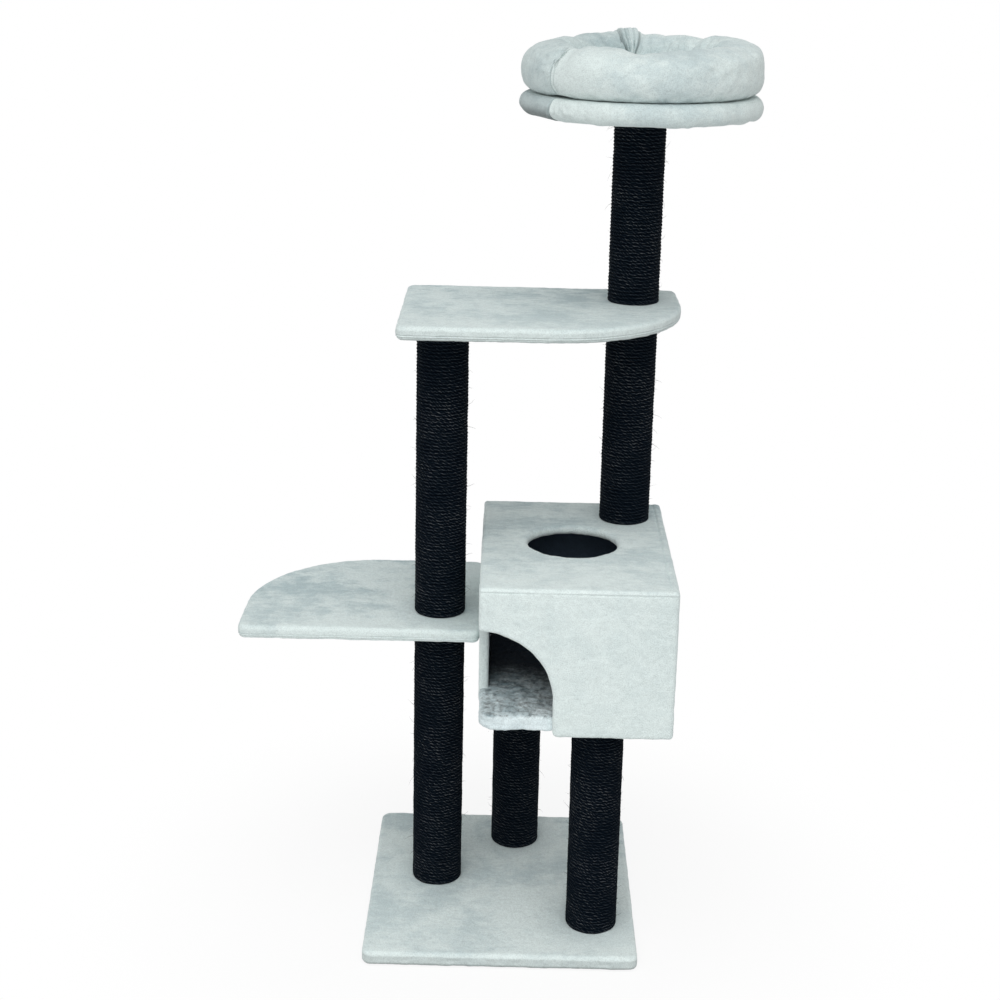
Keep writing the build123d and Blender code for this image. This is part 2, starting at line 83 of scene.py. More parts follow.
# Sizes of the cloth on the boards and the house, in metres
BASE_CORNER = 0.016
BASE_PROUD = 0.003
BASE_STEP = 0.0046
BOARD_STEP = 0.0042
UNDER_STEP = 0.0028
EDGE_SEAMS = (0.0045, 0.0085)
SEAM_DEPTH = 0.0018
FLOOR_ROUND = 0.005
FLOOR_PILE = 3.2
SILL_CLEAR = 0.0015
SILL_SLOPE = 0.024
HOUSE_ROUND = 0.0065
FOOT_ROUND = 0.0092
FOOT_DROP = 0.004
EDGE_POWER = 3
ARCH_SPREAD = 0.185
CORNER_EXTRA = 0.0005
CORNER_LEAST = 0.0008
CORNER_BLEND = 0.001
FACE_REACH = 0.001

# Pile: height, cell and seed of its waves, tufts and points, how deep it may sink, and the tone of the
# painted shade in a fold
PILE_WAVES = ((0.00045, 0.034, 0), (0.0004, 0.013, 1), (0.0004, 0.0062, 2))
PILE_SINK = 0.0014
FOLD_SHADE = 0.5

# Painted shade: where in Y the darkening towards the back starts and where it is whole, and round the posts'
# feet the distance where it starts, the distance where it is whole, and its strength
BACK_SHADE_START = -0.22
BACK_SHADE_END = 0.26
FOOT_SHADE_EDGE = 0.12
FOOT_SHADE_MIDDLE = 0.05
FOOT_SHADE_SHARE = 0.45

# Winding and loose hairs of the posts, in metres and counts
ROPE_PITCH = 0.0061
ROPE_SPREAD = 1.04
TURN_POINTS = 64
SECTION_POINTS = 8
HAIRS_PER_METRE = 420
HAIR_POINTS = 5
HAIR_SIDES = 3

# Bed: shoulder of the ring, its grid and filling, the strength of the pile, and how the pad reaches and sinks
SHOULDER_POWER = 2.9
SHOULDER_LEAN = 0.6
RING_SLACK = 0.003
RING_COLUMNS = 240
RING_ROWS = 56
FILL_FRAMES = 20
FILL_CAP = 0.005
HELD_HEIGHT = 0.004
BED_PILE = 0.8
PAD_PROUD = 0.0205
PAD_SINK = 0.0016

# Height, cell and seed of the ring's folds, of those on its inner face, and of the disc's puckers
RING_FOLDS = ((0.003, 0.036, 71), (0.0018, 0.016, 72))
INNER_FOLDS = ((0.0038, 0.022, 73), (0.0014, 0.009, 78))
DISC_PUCKERS = ((0.002, 0.024, 61), (0.0009, 0.011, 62))

# Direction in degrees, width and depth of each dent in the ring's rim, where a rise has a negative depth
RING_DENTS = ((266, 0.024, 0.008), (285, 0.075, 0.005), (120, 0.036, -0.0045), (8, 0.075, -0.007),
              (93, 0.018, -0.0035))

# Height, place and width of each hump across a seam, where a groove has a negative height
DISC_FRONT_SEAM = ((-0.0042, 0.0, 0.0022), (-0.0035, -0.004, 0.026))
DISC_SEAM_LIPS = ((0.0022, 0.0055, 0.0026),)
DISC_BACK_SEAM = ((-0.0036, 0.0, 0.0022), (-0.002, 0.0, 0.016))
RING_STITCHES = ((1.0, 0.0034, 0.0014),)
STITCH_DEPTH = 0.0027
RING_FRONT_DIP = ((-0.003, 0.0, 0.03),)
RING_FRONT_TUCK = ((-0.0035, 0.014, 0.014),)
RING_PINCH = ((-0.006, 0.0, 0.013),)
RING_BACK_SEAM = ((-0.0032, 0.0, 0.0016), (-0.002, 0.0, 0.016))

# Whole numbers that mix a lattice corner's place, and the seed, into one code
LATTICE_MIX = np.array((374761393, 668265263, 1442695041))
SEED_MIX = 9746347
CODE_MIX = 1274126177


# Small tools for numpy surfaces

def lattice_noise(points, cell, seed):
    """Smooth noise from -1 to 1: a random value on each corner of a cubic lattice, blended between
    them."""
    scaled = np.asarray(points) / cell
    whole = np.floor(scaled).astype(np.int64)
    part = scaled - whole
    part = part * part * (3 - 2 * part)
    total = np.zeros(scaled.shape[:-1])
    for corner in np.ndindex(2, 2, 2):
        code = ((whole + np.array(corner)) * LATTICE_MIX).sum(axis=-1) + seed * SEED_MIX
        code = (code ^ (code >> 13)) * CODE_MIX
        value = ((code ^ (code >> 16)) & 0xFFFF) / 32767.5 - 1
        weight = np.where(np.array(corner) == 1, part, 1 - part).prod(axis=-1)
        total += value * weight
    return total


def bump(distance, width):
    """One rounded hump of height 1: largest where the distance is zero, gone a few widths away."""
    return np.exp(-(distance / width) ** 2)


def humps(distance, shapes):
    """Sum of rounded humps across a seam, each with its height, place and width."""
    return sum(height * bump(distance - place, width) for height, place, width in shapes)


def smooth_step(value, start, end):
    """0 before start, 1 after end, with an even slope between them."""
    share = np.clip((value - start) / (end - start), 0, 1)
    return share * share * (3 - 2 * share)


def angle_between(angles, centre):
    """Signed difference of angles in radians, from -pi to pi."""
    return (angles - centre + pi) % (2 * pi) - pi


def polar(radius, theta, level):
    """Points at a radius and an angle about the Z axis, at a level."""
    return np.stack((radius * np.cos(theta), radius * np.sin(theta), np.broadcast_to(level, np.shape(theta))),
                    axis=-1)


def add_object(name, data):
    made = bpy.data.objects.new(name, data)
    bpy.context.collection.objects.link(made)
    return made


def grid_piece(name, points, close_rows=False, poles=(None, None), materials=(), face_material=0):
    """Mesh object from rows of points that close round on themselves. The last row may join the first,
    and a pole point may close the first and the last row with triangles. Face_material numbers the
    material of each face between two rows, or of a whole row or column of them."""
    rows, columns = points.shape[:2]
    index = np.arange(rows * columns).reshape(rows, columns)
    upper = index if close_rows else index[:-1]
    lower = np.roll(index, -1, axis=0) if close_rows else index[1:]
    quads = np.stack((upper, lower, np.roll(lower, -1, axis=1), np.roll(upper, -1, axis=1)), axis=-1)
    chosen = np.broadcast_to(face_material, quads.shape[:2]).ravel()
    quads = quads.reshape(-1, 4)
    corners = points.reshape(-1, 3)
    fans = [np.zeros((0, 3), dtype=np.int64)]
    for pole, rim in zip(poles, (index[0], index[-1][::-1])):
        if pole is not None:
            corners = np.vstack((corners, pole))
            fans.append(np.stack((np.full(columns, len(corners) - 1), rim, np.roll(rim, -1)), axis=-1))
    triangles = np.vstack(fans)
    mesh = bpy.data.meshes.new(name)
    mesh.vertices.add(len(corners))
    mesh.vertices.foreach_set("co", np.ascontiguousarray(corners, dtype=np.float32).ravel())
    mesh.loops.add(quads.size + triangles.size)
    loops = np.concatenate((quads.ravel(), triangles.ravel()))
    mesh.loops.foreach_set("vertex_index", loops.astype(np.int32))
    starts = np.concatenate((np.arange(len(quads)) * 4, quads.size + np.arange(len(triangles)) * 3))
    mesh.polygons.add(len(starts))
    mesh.polygons.foreach_set("loop_start", starts.astype(np.int32))
    for material in materials:
        mesh.materials.append(material)
    chosen = np.concatenate((chosen, np.zeros(len(triangles))))
    mesh.polygons.foreach_set("material_index", chosen.astype(np.int32))
    mesh.polygons.foreach_set("use_smooth", np.ones(len(starts), dtype=bool))
    mesh.update(calc_edges=True)
    mesh.validate()
    return add_object(name, mesh)


def read_vectors(mesh, name):
    """One named vector of every vertex of a mesh."""
    values = np.empty(len(mesh.vertices) * 3, dtype=np.float32)
    mesh.vertices.foreach_get(name, values)
    return values.reshape(-1, 3)


def mesh_points(piece):
    return read_vectors(piece.data, "co").astype(np.float64)


def set_mesh_points(piece, points):
    piece.data.vertices.foreach_set("co", np.ascontiguousarray(points, dtype=np.float32).ravel())
    piece.data.update()


def move_along_normals(piece, height):
    """Moves each point of the piece along its normal by its own height."""
    set_mesh_points(piece, mesh_points(piece) + read_vectors(piece.data, "normal") * height[:, None])


def rumples(points, waves, seed=0):
    """Sum of smooth noises, each with its height, its cell and a number that is added to the seed."""
    return sum(height * lattice_noise(points, cell, seed + number) for height, cell, number in waves)


def add_pile(piece, seed, strength=1.0):
    """Soft unevenness of a short pile: the sum of broad waves, tufts and fine points."""
    height = rumples(mesh_points(piece), PILE_WAVES, seed)
    move_along_normals(piece, np.maximum(strength * height, -PILE_SINK))


# Small tools for materials

def feed(tree, socket, value):
    """Links an input to another node's output, or sets it to a value."""
    if isinstance(value, bpy.types.NodeSocket):
        tree.links.new(value, socket)
    else:
        socket.default_value = value


def feed_all(tree, made, **inputs):
    """Feeds the named inputs of a node, where _ in a name stands for a space."""
    for key, value in inputs.items():
        feed(tree, made.inputs[key.replace("_", " ")], value)


def node(tree, kind, **inputs):
    """Adds a shader node and feeds its named inputs."""
    made = tree.nodes.new("ShaderNode" + kind)
    feed_all(tree, made, **inputs)
    return made


def new_material(name):
    material = bpy.data.materials.new(name)
    material.use_nodes = True
    tree = material.node_tree
    return material, tree, tree.nodes["Principled BSDF"]


def maths(tree, operation, *values):
    made = node(tree, "Math")
    made.operation = operation
    for socket, value in zip(made.inputs, values):
        feed(tree, socket, value)
    return made.outputs[0]


def vector_maths(tree, operation, first, second):
    made = node(tree, "VectorMath")
    made.operation = operation
    feed(tree, made.inputs[0], first)
    feed(tree, made.inputs[1], second)
    return made.outputs["Value" if operation == "DISTANCE" else "Vector"]


def weighted(tree, *pairs):
    """Sum of values, each times its weight."""
    parts = [maths(tree, "MULTIPLY", value, weight) for value, weight in pairs]
    total = parts[0]
    for part in parts[1:]:
        total = maths(tree, "ADD", total, part)
    return total


def map_range(tree, value, start, end, low=0.0, high=1.0, smooth=False):
    """Low before start and high after end, with a straight or a smooth slope between them."""
    made = node(tree, "MapRange", Value=value, From_Min=start, From_Max=end, To_Min=low, To_Max=high)
    if smooth:
        made.interpolation_type = "SMOOTHSTEP"
    return made.outputs["Result"]


def ramp(tree, source, stops):
    """Colour ramp fed by a value; stops are pairs of place and linear grey or colour."""
    made = node(tree, "ValToRGB", Fac=source)
    elements = made.color_ramp.elements
    while len(elements) < len(stops):
        elements.new(0.5)
    for element, (place, colour) in zip(elements, stops):
        element.position = place
        element.color = (*colour, 1) if isinstance(colour, tuple) else (colour, colour, colour, 1)
    return made.outputs["Color"]


def mix_colours(tree, share, first, second, blend="MIX"):
    made = node(tree, "Mix")
    made.data_type = "RGBA"
    made.blend_type = blend
    for number, value in ((0, share), (6, first), (7, second)):
        feed(tree, made.inputs[number], value)
    return made.outputs[2]


def object_place(tree):
    return node(tree, "TexCoord").outputs["Object"]


def mapped(tree, vector, **settings):
    return node(tree, "Mapping", Vector=vector, **settings).outputs["Vector"]


def axis(tree, vector, letter):
    return node(tree, "SeparateXYZ", Vector=vector).outputs[letter]


def facing_up(tree):
    """1 for a face that looks up, 0 for an upright one, -1 for one that looks down."""
    return axis(tree, node(tree, "NewGeometry").outputs["Normal"], "Z")


def noise_value(tree, vector, scale, detail, roughness, output="Fac"):
    made = node(tree, "TexNoise", Vector=vector, Scale=scale, Detail=detail, Roughness=roughness)
    return made.outputs[output]


def bump_normal(tree, height, strength, distance):
    return node(tree, "Bump", Height=height, Strength=strength, Distance=distance).outputs["Normal"]


# Materials

def make_pile_group():
    """Shared look of the short plush: where its nap lies away in brushed strokes, tufts and fibre points,
    and the pile's normal."""
    group = bpy.data.node_groups.new("plush_pile", "ShaderNodeTree")
    for name, kind in (("Laid", "Float"), ("Speckle", "Float"), ("Normal", "Vector")):
        group.interface.new_socket(name, in_out="OUTPUT", socket_type="NodeSocket" + kind)
    place = object_place(group)
    stroked = mapped(group, place, Rotation=(0.0, 0.0, 0.6), Scale=(0.6, 1.4, 1.0))
    broad = noise_value(group, place, 6.0, 3.0, 0.5)
    strokes = noise_value(group, stroked, 58.0, 4.0, 0.65)
    clumps = noise_value(group, place, 27.0, 4.0, 0.65)
    tufts = noise_value(group, place, 150.0, 2.0, 0.6)
    fibres = noise_value(group, place, 560.0, 3.0, 0.75)
    patches = weighted(group, (broad, 0.5), (strokes, 0.25), (clumps, 0.25))
    height = weighted(group, (tufts, 1.0), (fibres, 0.6))
    feed_all(group, group.nodes.new("NodeGroupOutput"),
             Laid=map_range(group, patches, 0.56, 0.38, smooth=True),
             Speckle=weighted(group, (tufts, 0.2), (fibres, 0.8)),
             Normal=bump_normal(group, height, 0.7, 0.0022))
    return group


pile_group = make_pile_group()


def make_plush(name, deep, light, roughness=0.92, sheen=0.35, specular=0.15, quiet=0.3, shade=0.74, swept=0.0,
               feet=(), under=1.0):
    """Plush from its brushed tips, light, to where its nap lies away, deep. Level faces are trodden and
    stroked and show the whole range, upright ones a quiet share of it. Shade is the tone between the
    tufts, swept is painted shade that darkens the plush towards the back, and feet are the points round
    which painted shade darkens it near the posts. Under is painted shade, the tone of faces that turn
    down. Folds marked on the mesh are darker with painted shade."""
    material, tree, shader = new_material(name)
    pile = node(tree, "Group")
    pile.node_tree = pile_group
    upward = facing_up(tree)
    place = object_place(tree)
    # Painted shade: the plush darkens towards the back, by swept
    away = map_range(tree, axis(tree, place, "Y"), BACK_SHADE_START, BACK_SHADE_END)
    back_shade_scale = maths(tree, "MULTIPLY_ADD", away, 2 * swept, 1 - 2 * swept)
    nap_and_shade = maths(tree, "MULTIPLY", pile.outputs["Laid"], back_shade_scale)
    nap_and_shade = maths(tree, "MULTIPLY_ADD", away, swept, nap_and_shade)
    # Painted shade round the posts' feet, with a ragged edge
    if feet:
        wander = noise_value(tree, place, 30.0, 4.0, 0.7, "Color")
        wander = mapped(tree, wander, Scale=(0.1, 0.1, 0.0), Location=(-0.05, -0.05, 0.0))
        ragged = vector_maths(tree, "ADD", place, wander)
    for foot in feet:
        apart = vector_maths(tree, "DISTANCE", ragged, foot)
        foot_shade = map_range(tree, apart, FOOT_SHADE_EDGE, FOOT_SHADE_MIDDLE, high=FOOT_SHADE_SHARE, smooth=True)
        nap_and_shade = maths(tree, "MAXIMUM", nap_and_shade, foot_shade)
    nap_and_shade = maths(tree, "MULTIPLY", nap_and_shade, map_range(tree, upward, 0.3, 0.9, low=quiet))
    patches = ramp(tree, nap_and_shade, ((0.0, light), (1.0, deep)))
    points = ramp(tree, pile.outputs["Speckle"], ((0.34, shade), (0.58, 1.0)))
    colour = mix_colours(tree, 1.0, patches, points, "MULTIPLY")
    # Painted shade: darker in the folds marked on the mesh and on faces that turn down
    fold_shade = node(tree, "Attribute")
    fold_shade.attribute_name = "fold_shade"
    depth = map_range(tree, fold_shade.outputs["Fac"], 0.0, 1.0, 1.0, FOLD_SHADE)
    tone = maths(tree, "MULTIPLY", map_range(tree, upward, -0.8, 0.35, low=under), depth)
    feed_all(tree, shader, Base_Color=mix_colours(tree, 1.0, colour, tone, "MULTIPLY"),
             Normal=pile.outputs["Normal"], Roughness=roughness, Specular_IOR_Level=specular,
             Sheen_Weight=sheen, Sheen_Roughness=0.5, Sheen_Tint=(0.9, 0.95, 0.95, 1))
    return material


POSTS = ("left_lower", "left_upper", "back", "front", "right_middle", "right_upper")
CLOTH_DEEP = (0.45, 0.565, 0.585)
CLOTH_LIGHT = (0.80, 0.895, 0.88)
# Painted shade on the floor deep inside the house
INSIDE_SHADE_COLOUR = (0.009, 0.017, 0.029, 1)
ENTRANCE_CORNER = (-0.03, -0.25, 0.47)


def node_sides(name):
    """Left, right, front, back, lowest and highest place of a node."""
    low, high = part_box(name)
    return low[0], high[0], low[1], high[1], low[2], high[2]


def post_ends(post):
    """Middle of a post in plan, and its lower and upper end."""
    left, right, front, back, low, high = node_sides(post + "_sisal")
    return ((left + right) / 2, (front + back) / 2), low, high


post_feet = [(*centre, low) for centre, low, high in map(post_ends, POSTS)]
# Swept paints shade towards the back, feet paint shade round the posts' feet, and under paints shade on faces
# that turn down
plush = make_plush("plush", CLOTH_DEEP, CLOTH_LIGHT, quiet=0.4, swept=0.25, feet=post_feet)
base_cloth = make_plush("plush_base", (0.53, 0.64, 0.655), CLOTH_LIGHT, quiet=0.4, swept=0.19, feet=post_feet,
                        under=0.45)
upper_cloth = make_plush("plush_upper", CLOTH_DEEP, CLOTH_LIGHT, quiet=0.4, swept=0.32, feet=post_feet,
                         under=0.7)
bed_plush = make_plush("bed_plush", (0.60, 0.71, 0.72), (0.78, 0.875, 0.86), quiet=0.8)
turned_plush = make_plush("bed_plush_turned", (0.44, 0.545, 0.56), (0.66, 0.76, 0.755), quiet=0.8)
# Left panel of the disc: nap turned the other way, and painted shade that darkens it, most on faces that turn
# down
disc_turned_shaded = make_plush("bed_disc_turned_shaded", (0.28, 0.37, 0.39), (0.53, 0.62, 0.625), quiet=0.95, under=0.36)
floor_plush = make_plush("floor_plush", (0.34, 0.46, 0.50), (0.86, 0.97, 0.99), 0.95, 0.1, shade=0.7)
# Near-black cloth over the house's inner faces: painted shade of the inside
inside_shade_cloth = make_plush("house_inside_shade", (0.030, 0.050, 0.076), (0.068, 0.098, 0.138), 0.95, 0.0, 0.04)


def paint_floor_inside_shade(material):
    """Parts the floor's pale plush into locks, and away from the entrance corner gives it painted shade that
    turns it near-black."""
    tree = material.node_tree
    colour_input = tree.nodes["Principled BSDF"].inputs["Base Color"]
    pale = colour_input.links[0].from_socket
    place = object_place(tree)
    apart = vector_maths(tree, "DISTANCE", place, ENTRANCE_CORNER)
    edge = weighted(tree, (apart, 1.0), (noise_value(tree, place, 90.0, 3.0, 0.6), 0.09))
    locks = ramp(tree, noise_value(tree, place, 95.0, 4.0, 0.72), ((0.36, 0.40), (0.55, 1.0)))
    pale = mix_colours(tree, facing_up(tree), pale, mix_colours(tree, 1.0, pale, locks, "MULTIPLY"))
    # Painted shade: the floor turns near-black away from the entrance corner
    inside = map_range(tree, edge, 0.15, 0.29, smooth=True)
    feed(tree, colour_input, mix_colours(tree, inside, pale, INSIDE_SHADE_COLOUR))


paint_floor_inside_shade(floor_plush)


def make_rope():
    """Dyed black sisal: four strands that slant round the rope, with painted highlights, grey flecks, on
    their crests, and painted shade towards the gaps between the turns. The mesh layer gives the way along
    the rope over its circumference, and the share round its section."""
    material, tree, shader = new_material("sisal_rope")
    layer = node(tree, "UVMap")
    layer.uv_map = "rope"
    layer = layer.outputs["UV"]
    around = axis(tree, layer, "Y")
    place = object_place(tree)
    uneven = noise_value(tree, mapped(tree, layer, Scale=(0.45, 0.0, 0.0)), 1.0, 3.0, 0.65)
    slant = weighted(tree, (axis(tree, layer, "X"), 0.45), (around, 1.0), (uneven, 2.0))
    wave = maths(tree, "SINE", maths(tree, "MULTIPLY", slant, 8 * pi))
    crest = maths(tree, "MULTIPLY_ADD", wave, 0.5, 0.5)
    # Painted highlights: grey flecks where the strands' crests would glint
    glint_flecks = noise_value(tree, mapped(tree, layer, Scale=(2.6, 3.2, 1.0)), 1.0, 2.0, 0.6)
    fibres = noise_value(tree, place, 900.0, 2.0, 0.7)
    broad = noise_value(tree, place, 16.0, 2.0, 0.5)
    height = weighted(tree, (crest, 1.0), (fibres, 0.6))
    # Painted shade: the rope darkens towards the gaps between the turns
    gap_shade_angle = maths(tree, "COSINE", maths(tree, "MULTIPLY", around, 2 * pi))
    tone = maths(tree, "MULTIPLY", crest, weighted(tree, (glint_flecks, 0.75), (fibres, 1.0)))
    tone = maths(tree, "MULTIPLY", tone, maths(tree, "MULTIPLY_ADD", broad, 0.5, 0.66))
    tone = maths(tree, "MULTIPLY", tone, map_range(tree, gap_shade_angle, -0.25, -0.92, low=0.12))
    colour = ramp(tree, tone, ((0.22, (0.0012, 0.0030, 0.0062)), (0.52, (0.0060, 0.0102, 0.0155)),
                               (0.78, (0.022, 0.028, 0.035)), (0.97, (0.12, 0.125, 0.128))))
    feed_all(tree, shader, Base_Color=colour, Normal=bump_normal(tree, height, 0.8, 0.0011), Roughness=0.75,
             Specular_IOR_Level=0.03, Specular_Tint=(0.6, 0.8, 1.0, 1))
    return material


rope = make_rope()


def make_wood():
    """Particle board: pale chips in a darker bond."""
    material, tree, shader = new_material("board_wood")
    place = mapped(tree, object_place(tree), Scale=(1.0, 1.0, 2.6))
    chips = node(tree, "TexVoronoi", Vector=place, Scale=240.0, Randomness=1.0).outputs["Color"]
    tone = weighted(tree, (chips, 0.6), (noise_value(tree, place, 420.0, 3.0, 0.6), 0.4))
    colour = ramp(tree, tone, ((0.2, (0.30, 0.20, 0.11)), (0.55, (0.50, 0.37, 0.23)),
                               (0.85, (0.66, 0.53, 0.36))))
    feed_all(tree, shader, Base_Color=colour, Normal=bump_normal(tree, tone, 0.4, 0.0005), Roughness=0.75)
    return material


def make_cardboard():
    """Wound paper tube: brown fibre with a slow spiral of plies."""
    material, tree, shader = new_material("tube_cardboard")
    place = object_place(tree)
    plies = node(tree, "TexWave", Vector=place, Scale=9.0, Distortion=2.0, Detail=2.0)
    plies.bands_direction = "Z"
    fibre = noise_value(tree, place, 300.0, 4.0, 0.65)
    tone = weighted(tree, (plies.outputs["Fac"], 0.3), (fibre, 0.7))
    colour = ramp(tree, tone, ((0.25, (0.22, 0.145, 0.085)), (0.75, (0.42, 0.30, 0.19))))
    feed_all(tree, shader, Base_Color=colour, Normal=bump_normal(tree, fibre, 0.3, 0.0004), Roughness=0.85)
    return material


def make_felt():
    """Black backing felt: matted fibre with pale flecks."""
    material, tree, shader = new_material("backing_felt")
    mat = noise_value(tree, object_place(tree), 380.0, 5.0, 0.75)
    colour = ramp(tree, mat, ((0.35, (0.012, 0.012, 0.013)), (0.7, (0.05, 0.05, 0.053))))
    feed_all(tree, shader, Base_Color=colour, Normal=bump_normal(tree, mat, 0.6, 0.0008), Roughness=0.95,
             Sheen_Weight=0.2)
    return material


def make_foam():
    """Open-cell foam: cream with fine pores."""
    material, tree, shader = new_material("foam")
    cells = node(tree, "TexVoronoi", Vector=object_place(tree), Scale=700.0).outputs["Distance"]
    colour = ramp(tree, cells, ((0.1, (0.52, 0.45, 0.30)), (0.6, (0.76, 0.70, 0.52))))
    feed_all(tree, shader, Base_Color=colour, Normal=bump_normal(tree, cells, 0.5, 0.0006), Roughness=0.9)
    return material


def make_steel():
    """Zinc-plated steel: bluish spangle, uneven in its polish."""
    material, tree, shader = new_material("fastener_steel")
    spangle = noise_value(tree, object_place(tree), 500.0, 3.0, 0.6)
    colour = ramp(tree, spangle, ((0.3, (0.46, 0.48, 0.50)), (0.7, (0.66, 0.67, 0.68))))
    polish = map_range(tree, spangle, 0.0, 1.0, 0.26, 0.46)
    feed_all(tree, shader, Base_Color=colour, Roughness=polish, Metallic=1.0)
    return material


carried_materials = {
    "board_wood": make_wood(),
    "tube_cardboard": make_cardboard(),
    "backing_felt": make_felt(),
    "foam": make_foam(),
    "fastener_steel": make_steel(),
}


# Plush-covered boards

def rounded_plan(left, right, front, back, radii, step):
    """Evenly spaced outline of a rectangle with a rounded corner of its own radius at front left, front
    right, back right and back left, going round anticlockwise."""
    corners = ((left, front, pi), (right, front, 1.5 * pi), (right, back, 0.0), (left, back, 0.5 * pi))
    path = []
    for (x, y, start), radius in zip(corners, radii):
        centre_x = x + radius if x == left else x - radius
        centre_y = y + radius if y == front else y - radius
        turn = start + np.linspace(0, pi / 2, 60)
        path.append(np.stack((centre_x + radius * np.cos(turn), centre_y + radius * np.sin(turn)), axis=-1))
    path = np.vstack((*path, path[0][:1]))
    lengths = np.concatenate(((0,), np.cumsum(np.linalg.norm(np.diff(path, axis=0), axis=1))))
    places = np.linspace(0, lengths[-1], int(lengths[-1] / step), endpoint=False)
    return np.stack((np.interp(places, lengths, path[:, 0]), np.interp(places, lengths, path[:, 1])), axis=-1)


def outward_normals(plan):
    """Unit normals of an anticlockwise outline, pointing out of it."""
    along = np.roll(plan, -1, axis=0) - np.roll(plan, 1, axis=0)
    along /= np.linalg.norm(along, axis=1)[:, None]
    return np.stack((along[:, 1], -along[:, 0]), axis=-1)


def level_row(plan, level):
    """Points of an outline in plan, all at one level."""
    return np.column_stack((plan, np.full(len(plan), level)))


def edge_rows(plan, low, high, rounding, count):
    """Rows of a rounded edge, from the top round to the underside: a quarter round, a straight and a
    quarter round again."""
    normals = outward_normals(plan)

    def round_row(turn, centre):
        return level_row(plan + normals * rounding * (cos(turn) - 1), centre + rounding * sin(turn))

    turns = np.linspace(pi / 2, 0, count)
    straight = np.linspace(high - rounding, low + rounding, 21)[1:-1]
    upper = [round_row(turn, high - rounding) for turn in turns]
    lower = [round_row(-turn, low + rounding) for turn in turns[::-1]]
    return upper + [level_row(plan, level) for level in straight] + lower


def flat_rows(rim, middle, shares):
    """Rows of a flat face: the rim drawn in towards the middle point by each share."""
    return [middle + (rim - middle) * share for share in shares]


def covered_board(name, plan, low, high, rounding, material, seed, open_border=None, seams=(), pile=1.0):
    """Plush skin of a board: a flat top, a rounded edge and an underside. Where the cloth ends in a
    border of that width, the underside steps up behind it to the bare board. Seams are stitched grooves
    round the edge at those heights over the underside."""
    edge = edge_rows(plan, low, high, rounding, 12)
    top_middle = np.append(plan.mean(axis=0), high)
    top = flat_rows(edge[0], top_middle, np.linspace(0.02, 1, 62)[:-1])
    under_middle = np.append(plan.mean(axis=0), low)
    if open_border is None:
        under = flat_rows(edge[-1], under_middle, np.linspace(1, 0.02, 18)[1:])
    else:
        normals = outward_normals(plan)
        under = []
        for inset, lift in ((0.3, 0.0), (0.7, 0.0), (1.0, 0.0), (1.0, UNDER_STEP)):
            border = plan - normals * (rounding + (open_border - rounding) * inset)
            under.append(level_row(border, low + lift))
        under_middle[2] += UNDER_STEP
        under += flat_rows(under[-1], under_middle, (0.7, 0.4, 0.1))
    rows = np.stack(top + edge + under)
    piece = grid_piece(name, rows, poles=(top_middle, under_middle), materials=(material,))
    half = (high - low) / 2
    for seam in seams:
        points = mesh_points(piece)
        on_edge = smooth_step(np.abs(points[:, 2] - low - half), half, half - 0.002)
        gather = 0.7 + 0.5 * lattice_noise(points * np.array((1, 1, 0.2)), 0.009, seed + 5)
        move_along_normals(piece, -SEAM_DEPTH * gather * on_edge * bump(points[:, 2] - low - seam, 0.001))
    add_pile(piece, seed, pile)
    if open_border is not None:
        points = mesh_points(piece)
        points[:, 2] = np.maximum(points[:, 2], low)
        set_mesh_points(piece, points)
    return piece


def board_skin(name, corners, material, seed, step=BOARD_STEP, proud=0.0, **finish):
    """Plush skin in place of a board's cover, which may stand proud in front."""
    left, right, front, back, low, high = node_sides(name + "_cover")
    plan = rounded_plan(left, right, front - proud, back, corners, step)
    return covered_board(name + "_plush", plan, low, high, EDGE_ROUND, material, seed, **finish)


base_skin = board_skin("base", (BASE_CORNER,) * 4, base_cloth, 11, BASE_STEP, BASE_PROUD,
                       open_border=BASE_BORDER)
low_corners = (SMALL_CORNER, SMALL_CORNER, SMALL_CORNER, LARGE_CORNER)
low_skin = board_skin("low_platform", low_corners, plush, 21, seams=EDGE_SEAMS)
upper_corners = (SMALL_CORNER, LARGE_CORNER, SMALL_CORNER, SMALL_CORNER)
upper_skin = board_skin("upper_platform", upper_corners, upper_cloth, 31, seams=EDGE_SEAMS)


# House: its floor, and one skin out over the walls and roof, down the roof hole and back along the inside

house_left, house_right, house_front, house_back, house_low, house_high = node_sides("house_cover")
house_width = house_right - house_left
house_depth = house_back - house_front
house_height = house_high - house_low
house_girth = 2 * (house_width + house_depth)


def make_floor():
    """Plush of the floor: the cabin's outline, let out to the sill where the left wall is open. The sill
    runs back to the cabin's side over a short slope, hidden in the wall."""
    left, right, front, back, low, high = node_sides("house_floor_cover")
    cabin_left = house_left + WALL
    sill_end = house_front + ENTRANCE_RADIUS + SILL_CLEAR
    corners = (FLOOR_CORNER, EDGE_ROUND, EDGE_ROUND, EDGE_ROUND)
    plan = rounded_plan(left, right, front, back, corners, BOARD_STEP)
    slope = smooth_step(plan[:, 1], sill_end, sill_end + SILL_SLOPE)
    plan[:, 0] = np.maximum(plan[:, 0], left + (cabin_left - left) * slope)
    corner = (plan[:, 0] < cabin_left + EDGE_ROUND) & (plan[:, 1] > back - EDGE_ROUND)
    plan[corner, 0] = np.maximum(plan[corner, 0], cabin_left + plan[corner, 1] - back + EDGE_ROUND / 2)
    return covered_board("house_floor_plush", plan, low, high, FLOOR_ROUND, floor_plush, 41, pile=FLOOR_PILE)


floor_skin = make_floor()


def corner_turn(distance, radius):
    """A side's point at a distance from a square corner, moved on to the corner's round: along and in."""
    turn = (1 - np.clip(distance / radius, 0, 1)) * pi / 4
    along = np.where(distance < radius, radius - radius * np.sin(turn), distance)
    inward = np.where(distance < radius, radius - radius * np.cos(turn), 0)
    return along, inward


